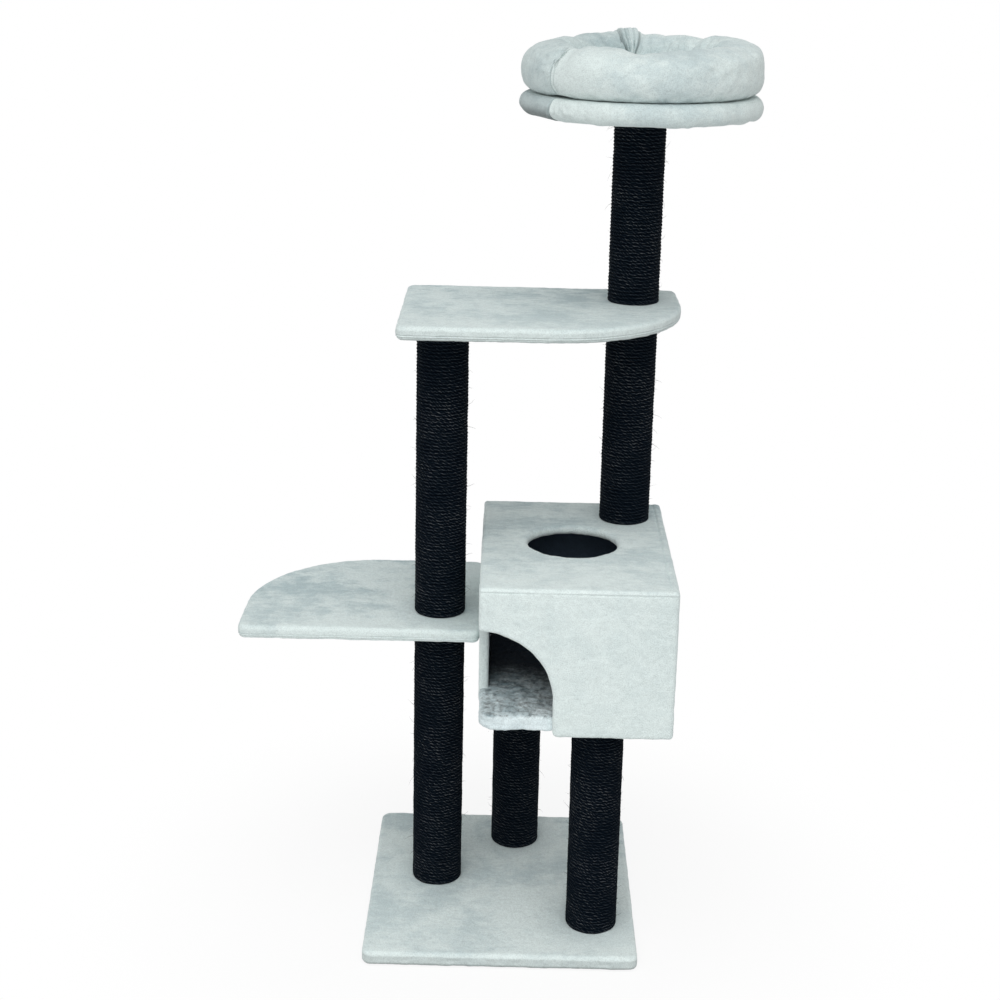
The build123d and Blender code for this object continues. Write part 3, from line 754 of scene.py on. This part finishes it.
def wall_point(along, height, inset):
    """Point of the house's walls. Along is measured round the plan from the entrance corner, to the right
    over the front; inset is the depth behind the outer face. The upright corners are rounded."""
    along = np.mod(along, house_girth)
    inset = np.broadcast_to(np.asarray(inset, dtype=float), along.shape)
    starts = np.array((0, house_width, house_width + house_depth, 2 * house_width + house_depth))
    side = np.clip(np.searchsorted(starts, along, side="right") - 1, 0, 3)
    length = np.where(side % 2 == 0, house_width, house_depth)
    near = along - starts[side]
    far = length - near
    first = near < far
    reach = np.where(first, near, far)
    radius = np.maximum(HOUSE_ROUND + CORNER_EXTRA - inset, CORNER_LEAST)
    clear = 0.5 * (reach + inset + np.sqrt((reach - inset) ** 2 + CORNER_BLEND ** 2)) - inset
    clear = np.where(inset > 0, clear, reach)
    moved, inward = corner_turn(clear, radius)
    place = np.where(first, moved + inset, length - moved - inset)
    depth = inset + inward
    x = np.choose(side, (house_left + place, house_right - depth, house_right - place, house_left + depth))
    y = np.choose(side, (house_front + depth, house_front + place, house_back - depth, house_back - place))
    return np.stack((x, y, np.broadcast_to(house_low + height, x.shape)), axis=-1)


def house_lower_edge():
    """Lower edge of the walls on the unrolled plan: over the entrance arch, down its jamb, round its
    foot, along under the walls and up the other jamb. Also gives the direction into the wall at each
    point."""
    turn = np.linspace(pi / 2, 0, 52)
    arch_in = np.stack((np.cos(turn), np.sin(turn)), axis=-1)
    arch = ENTRANCE_RADIUS * arch_in + np.array((0, ENTRANCE_SPRING))
    fall = np.linspace(ENTRANCE_SPRING, FOOT_ROUND - FOOT_DROP, 13)[1:]
    jamb = np.stack((np.full(len(fall), ENTRANCE_RADIUS), fall), axis=-1)
    jamb_in = np.tile((1.0, 0.0), (len(fall), 1))
    bend = np.linspace(0, pi / 2, 9)[1:]
    heel_in = np.stack((np.cos(bend), np.sin(bend)), axis=-1)
    heel = FOOT_ROUND * (1 - heel_in) + np.array((ENTRANCE_RADIUS, -FOOT_DROP))
    run = np.linspace(ENTRANCE_RADIUS + FOOT_ROUND, house_girth - ENTRANCE_RADIUS - FOOT_ROUND, 288)[1:-1]
    foot = np.stack((run, np.full(len(run), -FOOT_DROP)), axis=-1)
    foot_in = np.tile((0.0, 1.0), (len(run), 1))
    start = np.vstack((arch, jamb, heel))
    start_in = np.vstack((arch_in, jamb_in, heel_in))
    finish = np.stack((house_girth - start[::-1, 0], start[::-1, 1]), axis=-1)
    finish_in = np.stack((-start_in[::-1, 0], start_in[::-1, 1]), axis=-1)
    edge = np.vstack((start, foot, finish[:-1]))
    into = np.vstack((start_in, foot_in, finish_in[:-1]))
    return edge, into, len(start)


def house_upper_edge(edge, start_count):
    """Places along the top of the walls that the points of the lower edge are joined to."""
    steps = np.linalg.norm(np.diff(edge[:start_count], axis=0), axis=1)
    rise = np.concatenate(((0,), np.cumsum(steps)))
    first = rise / rise[-1] * ARCH_SPREAD
    middle = np.linspace(ARCH_SPREAD, house_girth - ARCH_SPREAD, len(edge) - 2 * start_count + 3)[1:-1]
    last = house_girth - first[::-1][:-1]
    return np.concatenate((first, middle, last))


def press_roof_seam(skin):
    """Presses the roof's seam into the skin: a groove with a lip, under the roof's front edge and along
    its right one."""
    points = mesh_points(skin)
    on_front = points[:, 1] < house_front + FACE_REACH
    on_roof = points[:, 2] > house_high - FACE_REACH
    below = house_high - points[:, 2]
    beside = house_right - points[:, 0]
    uneven = 0.65 + 0.6 * lattice_noise(points, 0.06, 53)
    groove = on_front * uneven * bump(below - 0.0080, 0.0013) + on_roof * bump(beside - 0.0135, 0.0014)
    lip = 0.5 * on_front * bump(below - 0.0050, 0.0018) + on_roof * bump(beside - 0.0095, 0.0025)
    move_along_normals(skin, 0.0008 * lip - SEAM_DEPTH * groove)


def make_house():
    """Closed skin in rows that all run round the house: up the outer faces from the lower edge, over a
    rounded rim and the roof, round the hole's lip, along the ceiling and down the inner faces, and round
    the lower edge, whose section is a superellipse. A row between two others is their blend by its share
    of the way."""
    edge, into, start_count = house_lower_edge()
    top_along = house_upper_edge(edge, start_count)
    inner_start = edge + into * HALF_WALL

    def wall_row(share, top, inset):
        along = inner_start[:, 0] * (1 - share) + top_along * share
        height = inner_start[:, 1] * (1 - share) + top * share
        return wall_point(along, height, inset)

    wall_top = house_height - HOUSE_ROUND
    shares = np.concatenate((np.linspace(0, 0.94, 52), np.linspace(0.95, 1, 11)))
    outside = [wall_row(share, wall_top, 0.0) for share in shares]
    for turn in np.linspace(0, pi / 2, 9)[1:]:
        height = wall_top + HOUSE_ROUND * sin(turn)
        outside.append(wall_point(top_along, height, HOUSE_ROUND * (1 - cos(turn))))
    rim = outside[-1]
    direction = rim[:, :2] - np.array(ROOF_HOLE)
    direction /= np.linalg.norm(direction, axis=1)[:, None]

    def hole_row(turn):
        reach = ROOF_HOLE_RADIUS + HALF_WALL * (1 - sin(turn))
        return level_row(np.array(ROOF_HOLE) + direction * reach, house_high - HALF_WALL * (1 - cos(turn)))

    hole_rim = hole_row(0.0)
    for share in np.concatenate((np.linspace(0.01, 0.09, 9), np.linspace(0.115, 1, 38))):
        outside.append(rim * (1 - share) + hole_rim * share)
    outside += [hole_row(turn) for turn in np.linspace(0, pi, 14)[1:]]
    ceiling = house_height - WALL
    hole_foot = outside[-1]
    inner_rim = wall_point(top_along, ceiling, WALL)
    inside = [hole_foot * (1 - share) + inner_rim * share for share in np.linspace(0, 1, 14)[1:]]
    inside += [wall_row(share, ceiling, WALL) for share in np.linspace(1, 0, 22)[1:]]
    foot = []
    for turn in np.linspace(pi, 0, 13)[1:-1]:
        full = (sin(turn) ** EDGE_POWER + abs(cos(turn)) ** EDGE_POWER) ** (-1 / EDGE_POWER)
        place = edge + into * HALF_WALL * (1 - full * sin(turn))
        foot.append(wall_point(place[:, 0], place[:, 1], HALF_WALL * (1 - full * cos(turn))))
    # The inner faces get the near-black cloth, painted shade
    kind = np.repeat((0, 1, 0), (len(outside), len(inside), len(foot)))
    inside_shaded = (kind & np.roll(kind, 1))[::-1]
    skin = grid_piece("house_plush", np.stack(outside + inside + foot)[::-1], close_rows=True,
                      materials=(plush, inside_shade_cloth), face_material=inside_shaded[:, None])
    press_roof_seam(skin)
    add_pile(skin, 51)
    return skin


house_skin = make_house()


# Posts: one rope wound from end to end, with loose fibres

def wind_rope(name, centre, low, high, seed):
    """One rope wound as a helix that touches itself from turn to turn, its ends tucked in. Rows follow
    the rope and columns go round its section; the uneven lay is smooth noise along the rope."""
    chance = np.random.default_rng(seed)
    room = high - low - 2 * ROPE_RADIUS
    turns = round(room / ROPE_PITCH) + 2
    count = turns * TURN_POINTS + 1
    swept = np.linspace(0, 2 * pi * turns, count)
    turn = swept + chance.uniform(0.35 * pi, 0.65 * pi)
    wander = polar(0.03, turn, np.linspace(low, high, count))
    climb = np.clip((swept - 2 * pi) / (2 * pi * (turns - 2)), 0, 1)
    rise = low + ROPE_RADIUS + climb * room + 0.0006 * lattice_noise(wander, 0.02, seed)
    rise = np.clip(rise, low + ROPE_RADIUS, high - ROPE_RADIUS)
    girth = ROPE_RADIUS * (1.03 + 0.05 * lattice_noise(wander, 0.006, seed + 1))[:, None]
    radius = POST_RADIUS - ROPE_RADIUS + 0.0002 + 0.00035 * lattice_noise(wander, 0.014, seed + 2)
    middle = polar(radius, turn, rise) + np.array((*centre, 0.0))
    section = np.linspace(-pi, pi, SECTION_POINTS, endpoint=False)
    rows = middle[:, None] + (girth * np.cos(section))[..., None] * polar(1.0, turn, 0.0)[:, None]
    rows[..., 2] = np.clip(rows[..., 2] + ROPE_SPREAD * girth * np.sin(section), low, high)
    piece = grid_piece(name, rows, poles=(middle[0], middle[-1]), materials=(rope,))
    along = np.arange(count) / TURN_POINTS * POST_RADIUS / ROPE_RADIUS
    quad_row, quad_column = np.indices((count - 1, SECTION_POINTS)).reshape(2, -1, 1)
    quad_row = (quad_row + np.array((0, 1, 1, 0))).ravel()
    quad_column = (quad_column + np.array((0, 0, 1, 1))).ravel()
    values = np.zeros((len(piece.data.loops), 2), dtype=np.float32)
    values[:len(quad_row), 0] = along[quad_row]
    values[:len(quad_row), 1] = quad_column / SECTION_POINTS
    piece.data.uv_layers.new(name="rope").data.foreach_set("uv", values.ravel())
    return piece


def loose_fibres(name, centre, low, high, seed, count):
    """Short hairs that stand off a wound post. A hair follows start + heading * length * s + curl *
    length * s * s / 2 for s from 0 to 1, and is a three-sided tube that tapers to its tip."""
    chance = np.random.default_rng(seed)
    outward = polar(1.0, chance.uniform(0, 2 * pi, count), 0.0)
    aside = np.stack((-outward[:, 1], outward[:, 0], outward[:, 2]), axis=-1)
    aside *= chance.choice((-1.0, 1.0), (count, 1))
    start = outward * (POST_RADIUS - 0.0012) + np.array((*centre, 0.0))
    start[:, 2] = chance.uniform(low + 0.012, high - 0.012, count)
    length = (0.005 + 0.02 * chance.uniform(0, 1, count) ** 2)[:, None, None]
    lift = chance.uniform(0.35, 0.9, (count, 1))
    heading = outward * lift + aside * (1 - 0.5 * lift)
    heading[:, 2] = chance.uniform(-0.5, 0.5, count)
    heading /= np.linalg.norm(heading, axis=1)[:, None]
    curl = -outward * chance.uniform(0.0, 0.7, (count, 1))
    curl[:, 2] = chance.uniform(-0.9, 0.9, count)
    share = np.linspace(0, 1, HAIR_POINTS)[None, :, None]
    path = start[:, None] + heading[:, None] * length * share + 0.5 * curl[:, None] * length * share ** 2
    first = np.cross(heading, (0.3, 0.2, 1.0))
    first /= np.linalg.norm(first, axis=1)[:, None]
    second = np.cross(heading, first)
    turn = 2 * pi * np.arange(HAIR_SIDES)[None, :, None] / HAIR_SIDES
    around = np.cos(turn) * first[:, None] + np.sin(turn) * second[:, None]
    radius = chance.uniform(0.00025, 0.00045, (count, 1)) * (1 - np.arange(HAIR_POINTS) / HAIR_POINTS)
    corners = path[:, :, None] + radius[:, :, None, None] * around[:, None]
    index = np.arange(count * HAIR_POINTS * HAIR_SIDES).reshape(count, HAIR_POINTS, HAIR_SIDES)
    near, far = index[:, :-1], index[:, 1:]
    walls = np.stack((near, np.roll(near, -1, axis=2), np.roll(far, -1, axis=2), far), axis=-1).reshape(-1, 4)
    ends = np.vstack((index[:, 0, ::-1], index[:, -1]))
    mesh = bpy.data.meshes.new(name)
    mesh.from_pydata(corners.reshape(-1, 3).tolist(), [], walls.tolist() + ends.tolist())
    mesh.materials.append(rope)
    mesh.update()
    return add_object(name, mesh)


ropes = {}
fibres = []
for number, post in enumerate(POSTS):
    centre, low, high = post_ends(post)
    ropes[post] = wind_rope(post + "_rope", centre, low, high, 100 + 10 * number)
    hair_count = int(HAIRS_PER_METRE * (high - low))
    fibres.append(loose_fibres(post + "_fibres", centre, low, high, 200 + number, hair_count))


# Bed: padded disc, ring cushion and pad

bed_left, bed_right, bed_front, bed_back, disc_low, disc_high = node_sides("bed_cover")
bed_centre = np.array(((bed_left + bed_right) / 2, (bed_front + bed_back) / 2, 0.0))
bed_radius = (bed_right - bed_left) / 2
cushion_low = node_sides("bed_ring")[4]
front_turn, back_turn = [radians(direction) for direction in RING_SEAMS]


def at_bed(radius, theta, level):
    """Points at a radius and an angle about the bed's axis, at a level."""
    return polar(radius, theta, level) + bed_centre


def seam_spread(count, closeness):
    """Angles round the bed, closer together near the two seams."""
    fine = np.linspace(0, 2 * pi, 4000)
    density = np.ones_like(fine)
    for seam in (front_turn, back_turn):
        density += closeness * bump(angle_between(fine, seam), 0.09)
    total = np.concatenate(((0,), np.cumsum(0.5 * (density[1:] + density[:-1]))))
    return np.interp(np.linspace(0, total[-1], count, endpoint=False), total, fine)


def turned_panel(theta):
    """1 for the columns between the two seams on the left, whose cloth was cut with its nap the other
    way."""
    return ((theta > back_turn) & (theta < front_turn)).astype(int)


def round_edge(rim, upper, lower, height, count):
    """Profile of a round edge from the top to the underside: a quarter ellipse that reaches in from the
    rim by upper, then one that reaches in by lower. The first point, on the top, is left out."""
    turn = np.linspace(pi / 2, -pi / 2, count)[1:]
    reach = np.where(turn > 0, upper, lower)
    return np.column_stack((rim - reach + reach * np.cos(turn), height / 2 * (1 + np.sin(turn))))


def turn_profile(profile, theta):
    """Grids of radius, height and angle for a profile of radius and height turned through the angles."""
    radius, around = np.meshgrid(profile[:, 0], theta, indexing="ij")
    return radius, np.broadcast_to(profile[:, 1:], radius.shape), around


def make_disc():
    """Padded disc: a profile of radius and height turned round the bed's axis, softer below at the left,
    with puckers and a seam sewn down its side at the front left and at the back."""
    theta = seam_spread(330, 4.0)
    thickness = disc_high - disc_low
    top = [(share * (bed_radius - BED_UPPER_TURN), thickness) for share in np.linspace(0.02, 1, 18)]
    side = round_edge(bed_radius, BED_UPPER_TURN, BED_LOWER_TURN, thickness, 26)
    under = [(share * (bed_radius - BED_LOWER_TURN), 0.0) for share in np.linspace(1, 0.02, 16)[1:]]
    profile = np.vstack((top, side, under))
    radius, height, around = turn_profile(profile, theta)
    slope = np.clip(1 - 2 * height / thickness, 0, 1)
    softer = 0.011 * bump(angle_between(around, radians(200)), 0.9)
    radius = radius - softer * (1 - np.sqrt(1 - slope ** 2)) * radius / bed_radius
    edge = smooth_step(radius, bed_radius - 0.03, bed_radius - 0.012)
    unrolled = polar(bed_radius, around, 0.35 * height)
    pucker = rumples(unrolled, DISC_PUCKERS)
    away = angle_between(around, front_turn - 0.01) * bed_radius
    slant = polar(bed_radius, around, 1.5 * (height - 0.03))
    pull = 0.003 * bump(away - 0.045, 0.05) * lattice_noise(slant + unrolled, 0.015, 63)
    behind = angle_between(around, back_turn) * bed_radius
    seam = humps(away, DISC_FRONT_SEAM) + humps(np.abs(away), DISC_SEAM_LIPS) + humps(behind, DISC_BACK_SEAM)
    radius = radius + edge * (pucker + pull + seam)
    lower = edge * smooth_step(height, 0.02, 0.0)
    height = height + 0.0022 * lower * (lattice_noise(unrolled, 0.017, 65) + 0.6)
    # The rim of the left panel has its nap turned and gets painted shade, darkest underneath
    rim = np.minimum(profile[1:, :1], profile[:-1, :1]) > bed_radius - BED_LOWER_TURN - 0.0005
    piece = grid_piece("bed_disc", at_bed(radius, around, disc_low + height),
                       poles=(at_bed(0.0, 0.0, disc_high), at_bed(0.0, 0.0, disc_low)),
                       materials=(bed_plush, disc_turned_shaded), face_material=rim * turned_panel(theta))
    add_pile(piece, 64, BED_PILE)
    return piece


def ring_grid(columns, rows):
    """Angles round the ring and round its section, as two grids; the section starts underneath and goes
    up its inner side."""
    phi = np.linspace(1.5 * pi, -pi / 2, rows, endpoint=False)
    phi, theta = np.meshgrid(phi, seam_spread(columns, 6.0), indexing="ij")
    return theta, phi


def hump_at(theta, direction, width, reach=RING_RADIUS):
    """Hump round the ring at a direction in degrees, with its width measured at a reach from the axis."""
    return bump(angle_between(theta, radians(direction)) * reach, width)


def ring_surface(theta, phi, section):
    """Points of the ring for a section radius: flat underneath, full at its outer shoulder as a
    superellipse is, slumped at the front, with dents and rises in the rim, and with a rim that waves at
    the back."""
    across = np.clip(np.cos(phi), 0, None)
    upward = np.clip(np.sin(phi), 0, None)
    power = SHOULDER_POWER + SHOULDER_LEAN * np.cos(theta)
    full = np.maximum(across ** power + upward ** power, 1e-9) ** (-1 / power)
    section = section * np.where((across > 0) & (upward > 0), full, 1.0)
    waves = lattice_noise(polar(RING_RADIUS, theta, 0.0), 0.034, 77)
    slump = 0.003 * smooth_step(-np.sin(theta), -0.2, 0.9)
    slump = slump - 0.0035 * smooth_step(np.sin(theta), -0.1, 0.5) * waves
    for direction, width, depth in RING_DENTS:
        slump = slump + depth * hump_at(theta, direction, width)
    height = section * np.sin(phi) + RING_HEIGHT
    height = height - slump * smooth_step(height, 0.02, 0.088)
    height = 0.5 * (height + np.sqrt(height ** 2 + 0.003 ** 2))
    return at_bed(RING_RADIUS + section * np.cos(phi), theta, cushion_low + height)


def ring_details(theta, phi):
    """How far each point of the ring stands off its filled form: folds, the double seam at the front left
    with the cloth gathered to a pinch beside it, and the box pleat over the back seam. Also gives the
    share of painted shade in the pleat's creases and over the front seam's stitches."""
    reach = RING_RADIUS + RING_SECTION * np.cos(phi)
    inside = smooth_step(-np.cos(phi), -0.3, 0.8)
    upper = smooth_step(np.sin(phi), -0.4, 0.5)
    inner_face = smooth_step(-np.cos(phi), -0.5, 0.3)
    outer_face = smooth_step(np.cos(phi), -0.1, 0.5)
    unrolled = polar(RING_RADIUS, theta, 0.013 * phi)
    folds = rumples(unrolled, RING_FOLDS) + inside * rumples(unrolled, INNER_FOLDS)
    rumpled = hump_at(theta, 308, 0.05, reach) * bump(angle_between(phi, radians(15)), 0.5)
    crumples = polar(reach, theta, RING_SECTION * np.sin(phi))
    folds = folds + 0.0042 * rumpled * lattice_noise(crumples, 0.017, 79)
    creases = (1 - np.abs(lattice_noise(unrolled, 0.019, 76))) ** 7
    stand = upper * (folds - 0.0035 * (0.25 + inside) * creases)

    front_seam = angle_between(theta, front_turn) * reach
    stitches = humps(np.abs(front_seam), RING_STITCHES)
    stand = stand - STITCH_DEPTH * stitches + humps(front_seam, RING_FRONT_DIP)
    stand = stand + upper * humps(front_seam, RING_FRONT_TUCK)
    stand = stand + humps(front_seam, RING_PINCH) * bump(angle_between(phi, radians(112)), 0.45)
    gathered = smooth_step(-front_seam, 0.002, 0.012) * bump(front_seam + 0.02, 0.045) * upper
    lengthwise = np.stack((0.3 * front_seam, 0.045 * phi, 0.02 * phi), axis=-1)
    stand = stand + 0.004 * gathered * lattice_noise(lengthwise, 0.010, 75)

    back_seam = angle_between(theta, back_turn) * reach
    half_width = 0.005 + 0.0125 * smooth_step(np.sin(phi), 0.1, 0.98)
    box = smooth_step(half_width + 0.004 - np.abs(back_seam), -0.004, 0.006)
    crease = bump(np.abs(back_seam) - half_width, 0.0019)
    lines = box * bump(np.abs(back_seam) - 0.42 * half_width, 0.0011)
    stand = stand + outer_face * humps(back_seam, RING_BACK_SEAM)
    stand = stand + upper * (0.008 * box - inner_face * (0.009 * crease + 0.0026 * lines))
    # Share of painted shade: the pleat's creases and lines, and the stitches of the front seam
    fold_shade = upper * inner_face * (0.75 * crease + 0.25 * lines) + 0.4 * stitches
    return stand, np.clip(fold_shade, 0, 1)


FILLING = {
    "quality": 6,
    "mass": 0.15,
    "tension_stiffness": 12,
    "compression_stiffness": 12,
    "shear_stiffness": 6,
    "bending_stiffness": 0.4,
    "vertex_group_mass": "held",
    "use_pressure": True,
    "uniform_pressure_force": 4.0,
    "shrink_min": -0.02,
}


def fill_cushion(piece, held):
    """Cloth run that swells a closed skin from inside, with the held points kept in place, and then fixes
    the result in the mesh. No point moves further than the cap."""
    scene = bpy.context.scene
    start = mesh_points(piece)
    group = piece.vertex_groups.new(name="held")
    group.add(np.nonzero(held)[0].tolist(), 1.0, "REPLACE")
    cloth = piece.modifiers.new("fill", "CLOTH")
    for key, value in FILLING.items():
        setattr(cloth.settings, key, value)
    cloth.settings.effector_weights.gravity = 0
    cloth.collision_settings.use_collision = False
    cloth.point_cache.frame_start = 1
    cloth.point_cache.frame_end = FILL_FRAMES
    for number in range(1, FILL_FRAMES + 1):
        scene.frame_set(number)
    filled = piece.evaluated_get(bpy.context.evaluated_depsgraph_get())
    step = read_vectors(filled.data, "co") - start
    length = np.linalg.norm(step, axis=1)
    step *= (np.minimum(length, FILL_CAP) / np.maximum(length, 1e-9))[:, None]
    piece.modifiers.remove(cloth)
    piece.vertex_groups.remove(group)
    scene.frame_set(1)
    set_mesh_points(piece, start + step)


def refine_grid(rows):
    """Twice as many rows and columns of a closed grid of points. Each new one lies midway between two old
    ones, by the weights -1, 9, 9, -1 over 16."""
    for axis_number in (0, 1):
        close = rows + np.roll(rows, -1, axis_number)
        far = np.roll(rows, 1, axis_number) + np.roll(rows, -2, axis_number)
        doubled = np.stack((rows, (9 * close - far) / 16), axis=axis_number + 1)
        rows = doubled.reshape(rows.shape[0] * (2 - axis_number), rows.shape[1] * (1 + axis_number), 3)
    return rows


def make_ring():
    """Ring cushion: a plain ring is filled by the cloth run, refined, and then gets its folds and
    seams."""
    rows = ring_surface(*ring_grid(RING_COLUMNS, RING_ROWS), RING_SECTION - RING_SLACK)
    core = grid_piece("ring_core", rows, close_rows=True)
    fill_cushion(core, (rows[..., 2] < cushion_low + HELD_HEIGHT).ravel())
    rows = refine_grid(mesh_points(core).reshape(rows.shape))
    bpy.data.meshes.remove(core.data)
    theta, phi = ring_grid(2 * RING_COLUMNS, 2 * RING_ROWS)
    piece = grid_piece("ring_cushion", rows, close_rows=True, materials=(bed_plush, turned_plush),
                       face_material=turned_panel(theta[0]))
    stand, fold_shade = ring_details(theta, phi)
    move_along_normals(piece, stand.ravel())
    # Marks where the plush's colour gets painted shade
    mark = piece.data.attributes.new("fold_shade", "FLOAT", "POINT")
    mark.data.foreach_set("value", fold_shade.astype(np.float32).ravel())
    add_pile(piece, 74, BED_PILE)
    return piece


def make_pad():
    """Crowned pad in the bottom of the ring: a profile of radius and height, whose top falls with the
    square of the radius, turned round the bed's axis."""
    left, right, _, _, low, high = node_sides("bed_pad")
    rim = (right - left) / 2 + PAD_PROUD
    flat = rim - PAD_EDGE_BULGE
    crown = high - low - PAD_EDGE_HEIGHT
    top = [(share * flat, PAD_EDGE_HEIGHT + crown * (1 - share ** 2)) for share in np.linspace(0.03, 1, 26)]
    side = round_edge(rim, PAD_EDGE_BULGE, PAD_EDGE_BULGE, PAD_EDGE_HEIGHT, 12)
    under = [(share * flat, 0.0) for share in np.linspace(1, 0.05, 6)[1:]]
    theta = np.linspace(0, 2 * pi, 180, endpoint=False)
    radius, height, around = turn_profile(np.vstack((top, side, under)), theta)
    rows = at_bed(radius, around, low + height)
    upper = smooth_step(height, 0.004, 0.014)
    rows[..., 2] += upper * (0.0012 * lattice_noise(rows, 0.03, 81) - PAD_SINK)
    poles = (at_bed(0.0, 0.0, high - PAD_SINK), at_bed(0.0, 0.0, low))
    piece = grid_piece("bed_pad_plush", rows, poles=poles, materials=(bed_plush,))
    add_pile(piece, 84, BED_PILE)
    return piece


disc_skin = make_disc()
ring_skin = make_ring()
pad_skin = make_pad()


# Riding and what each piece stands for

def stand_for(piece, body, slot, *node_names):
    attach(piece, body)
    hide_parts(*node_names)


stand_for(base_skin, "frame", "plush", "base_cover")
stand_for(low_skin, "frame", "plush", "low_platform_cover")
stand_for(upper_skin, "frame", "plush", "upper_platform_cover")
stand_for(floor_skin, "frame", "plush", "house_floor_cover")
stand_for(house_skin, "frame", "plush", "house_cover")
stand_for(disc_skin, "frame", "bed_plush", "bed_cover", "bed_foam")
stand_for(ring_skin, "bed_cushion", "bed_plush", "bed_ring")
stand_for(pad_skin, "bed_cushion", "bed_plush", "bed_pad")
for post in POSTS:
    stand_for(ropes[post], "frame", "sisal_rope", post + "_sisal")
for hairs in fibres:
    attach(hairs, "frame")


# Camera at the photograph's place

def place_camera():
    yaw, pitch, roll = -0.0052, 0.2877, 0.0212
    place = (-0.00425, -2.9215, 1.7471)
    forward = Vector((sin(yaw) * cos(pitch), cos(yaw) * cos(pitch), -sin(pitch)))
    level = Vector((cos(yaw), -sin(yaw), 0))
    upright = level.cross(forward)
    across = cos(roll) * level + sin(roll) * upright
    above = -sin(roll) * level + cos(roll) * upright
    data = bpy.data.cameras.new("camera")
    data.lens = 63.31
    data.sensor_width = 36
    data.sensor_fit = "HORIZONTAL"
    data.shift_y = -0.06
    data.clip_end = 60
    camera = add_object("camera", data)
    turn = Matrix((across, above, -forward)).transposed().to_4x4()
    camera.matrix_world = Matrix.Translation(place) @ turn
    bpy.context.scene.camera = camera


place_camera()


# Stage: white floor that keeps the shadow near the object, white surroundings, soft light

def make_stage():
    """Floor that keeps a faint shadow near the object and glows plain white further off, for the camera only.
    It is greyer for the light that it throws back than for the camera."""
    size = 20.0
    mesh = bpy.data.meshes.new("floor")
    corners = [(-size, -size, 0), (size, -size, 0), (size, size, 0), (-size, size, 0)]
    mesh.from_pydata(corners, [], [(0, 1, 2, 3)])
    floor = add_object("floor", mesh)
    floor.location = (0, 0, -0.0005)
    material, tree, shader = new_material("floor_white")
    camera_ray = node(tree, "LightPath").outputs["Is Camera Ray"]
    feed_all(tree, shader, Base_Color=map_range(tree, camera_ray, 0.0, 1.0, 0.62, 0.9), Roughness=0.9,
             Specular_IOR_Level=0.0)
    apart = vector_maths(tree, "DISTANCE", object_place(tree), (0.0, 0.0, 0.0))
    away = map_range(tree, apart, 0.35, 0.85, low=0.86, smooth=True)
    blend = node(tree, "MixShader")
    feed(tree, blend.inputs[0], maths(tree, "MULTIPLY", camera_ray, away))
    feed(tree, blend.inputs[1], shader.outputs[0])
    feed(tree, blend.inputs[2], node(tree, "Emission").outputs[0])
    feed(tree, tree.nodes["Material Output"].inputs["Surface"], blend.outputs[0])
    mesh.materials.append(material)


def add_lamp(name, kind, heading, **settings):
    """Lamp that shines in the direction of its heading."""
    data = bpy.data.lights.new(name, kind)
    for key, value in settings.items():
        setattr(data, key, value)
    lamp = add_object(name, data)
    lamp.rotation_euler = Vector(heading).to_track_quat("-Z", "Y").to_euler()
    return lamp


def light_scene():
    """White surroundings, bright where they are seen and dimmer as a light, a panel in front and a soft
    light from above."""
    world = bpy.data.worlds.new("studio")
    bpy.context.scene.world = world
    world.use_nodes = True
    tree = world.node_tree
    path = node(tree, "LightPath").outputs
    seen = maths(tree, "MAXIMUM", path["Is Camera Ray"], path["Is Glossy Ray"])
    seen = maths(tree, "MAXIMUM", seen, path["Is Transmission Ray"])
    strength = map_range(tree, seen, 0.0, 1.0, 0.5, 1.0)
    feed_all(tree, tree.nodes["Background"], Color=(1, 1, 1, 1), Strength=strength)
    panel = add_lamp("front_panel", "AREA", (0.1, 1.0, -0.1), energy=11.0, shape="RECTANGLE", size=1.1,
                     size_y=2.0)
    panel.location = (-0.2, -2.1, 1.3)
    panel.visible_camera = False
    add_lamp("ceiling", "SUN", (0.05, 0.5, -0.86), energy=1.45, angle=radians(70))
    bpy.context.scene.view_settings.view_transform = "Standard"


make_stage()
light_scene()

# Carried-over solids keep their shapes and get a material for their slot
for thing in bpy.data.objects:
    if thing.type != "MESH":
        continue
    for place in thing.material_slots:
        if place.material is None:
            continue
        slot_name = place.material.name.split(".")[0]
        if slot_name in carried_materials and place.material != carried_materials[slot_name]:
            place.material = carried_materials[slot_name]

bpy.context.view_layer.update()
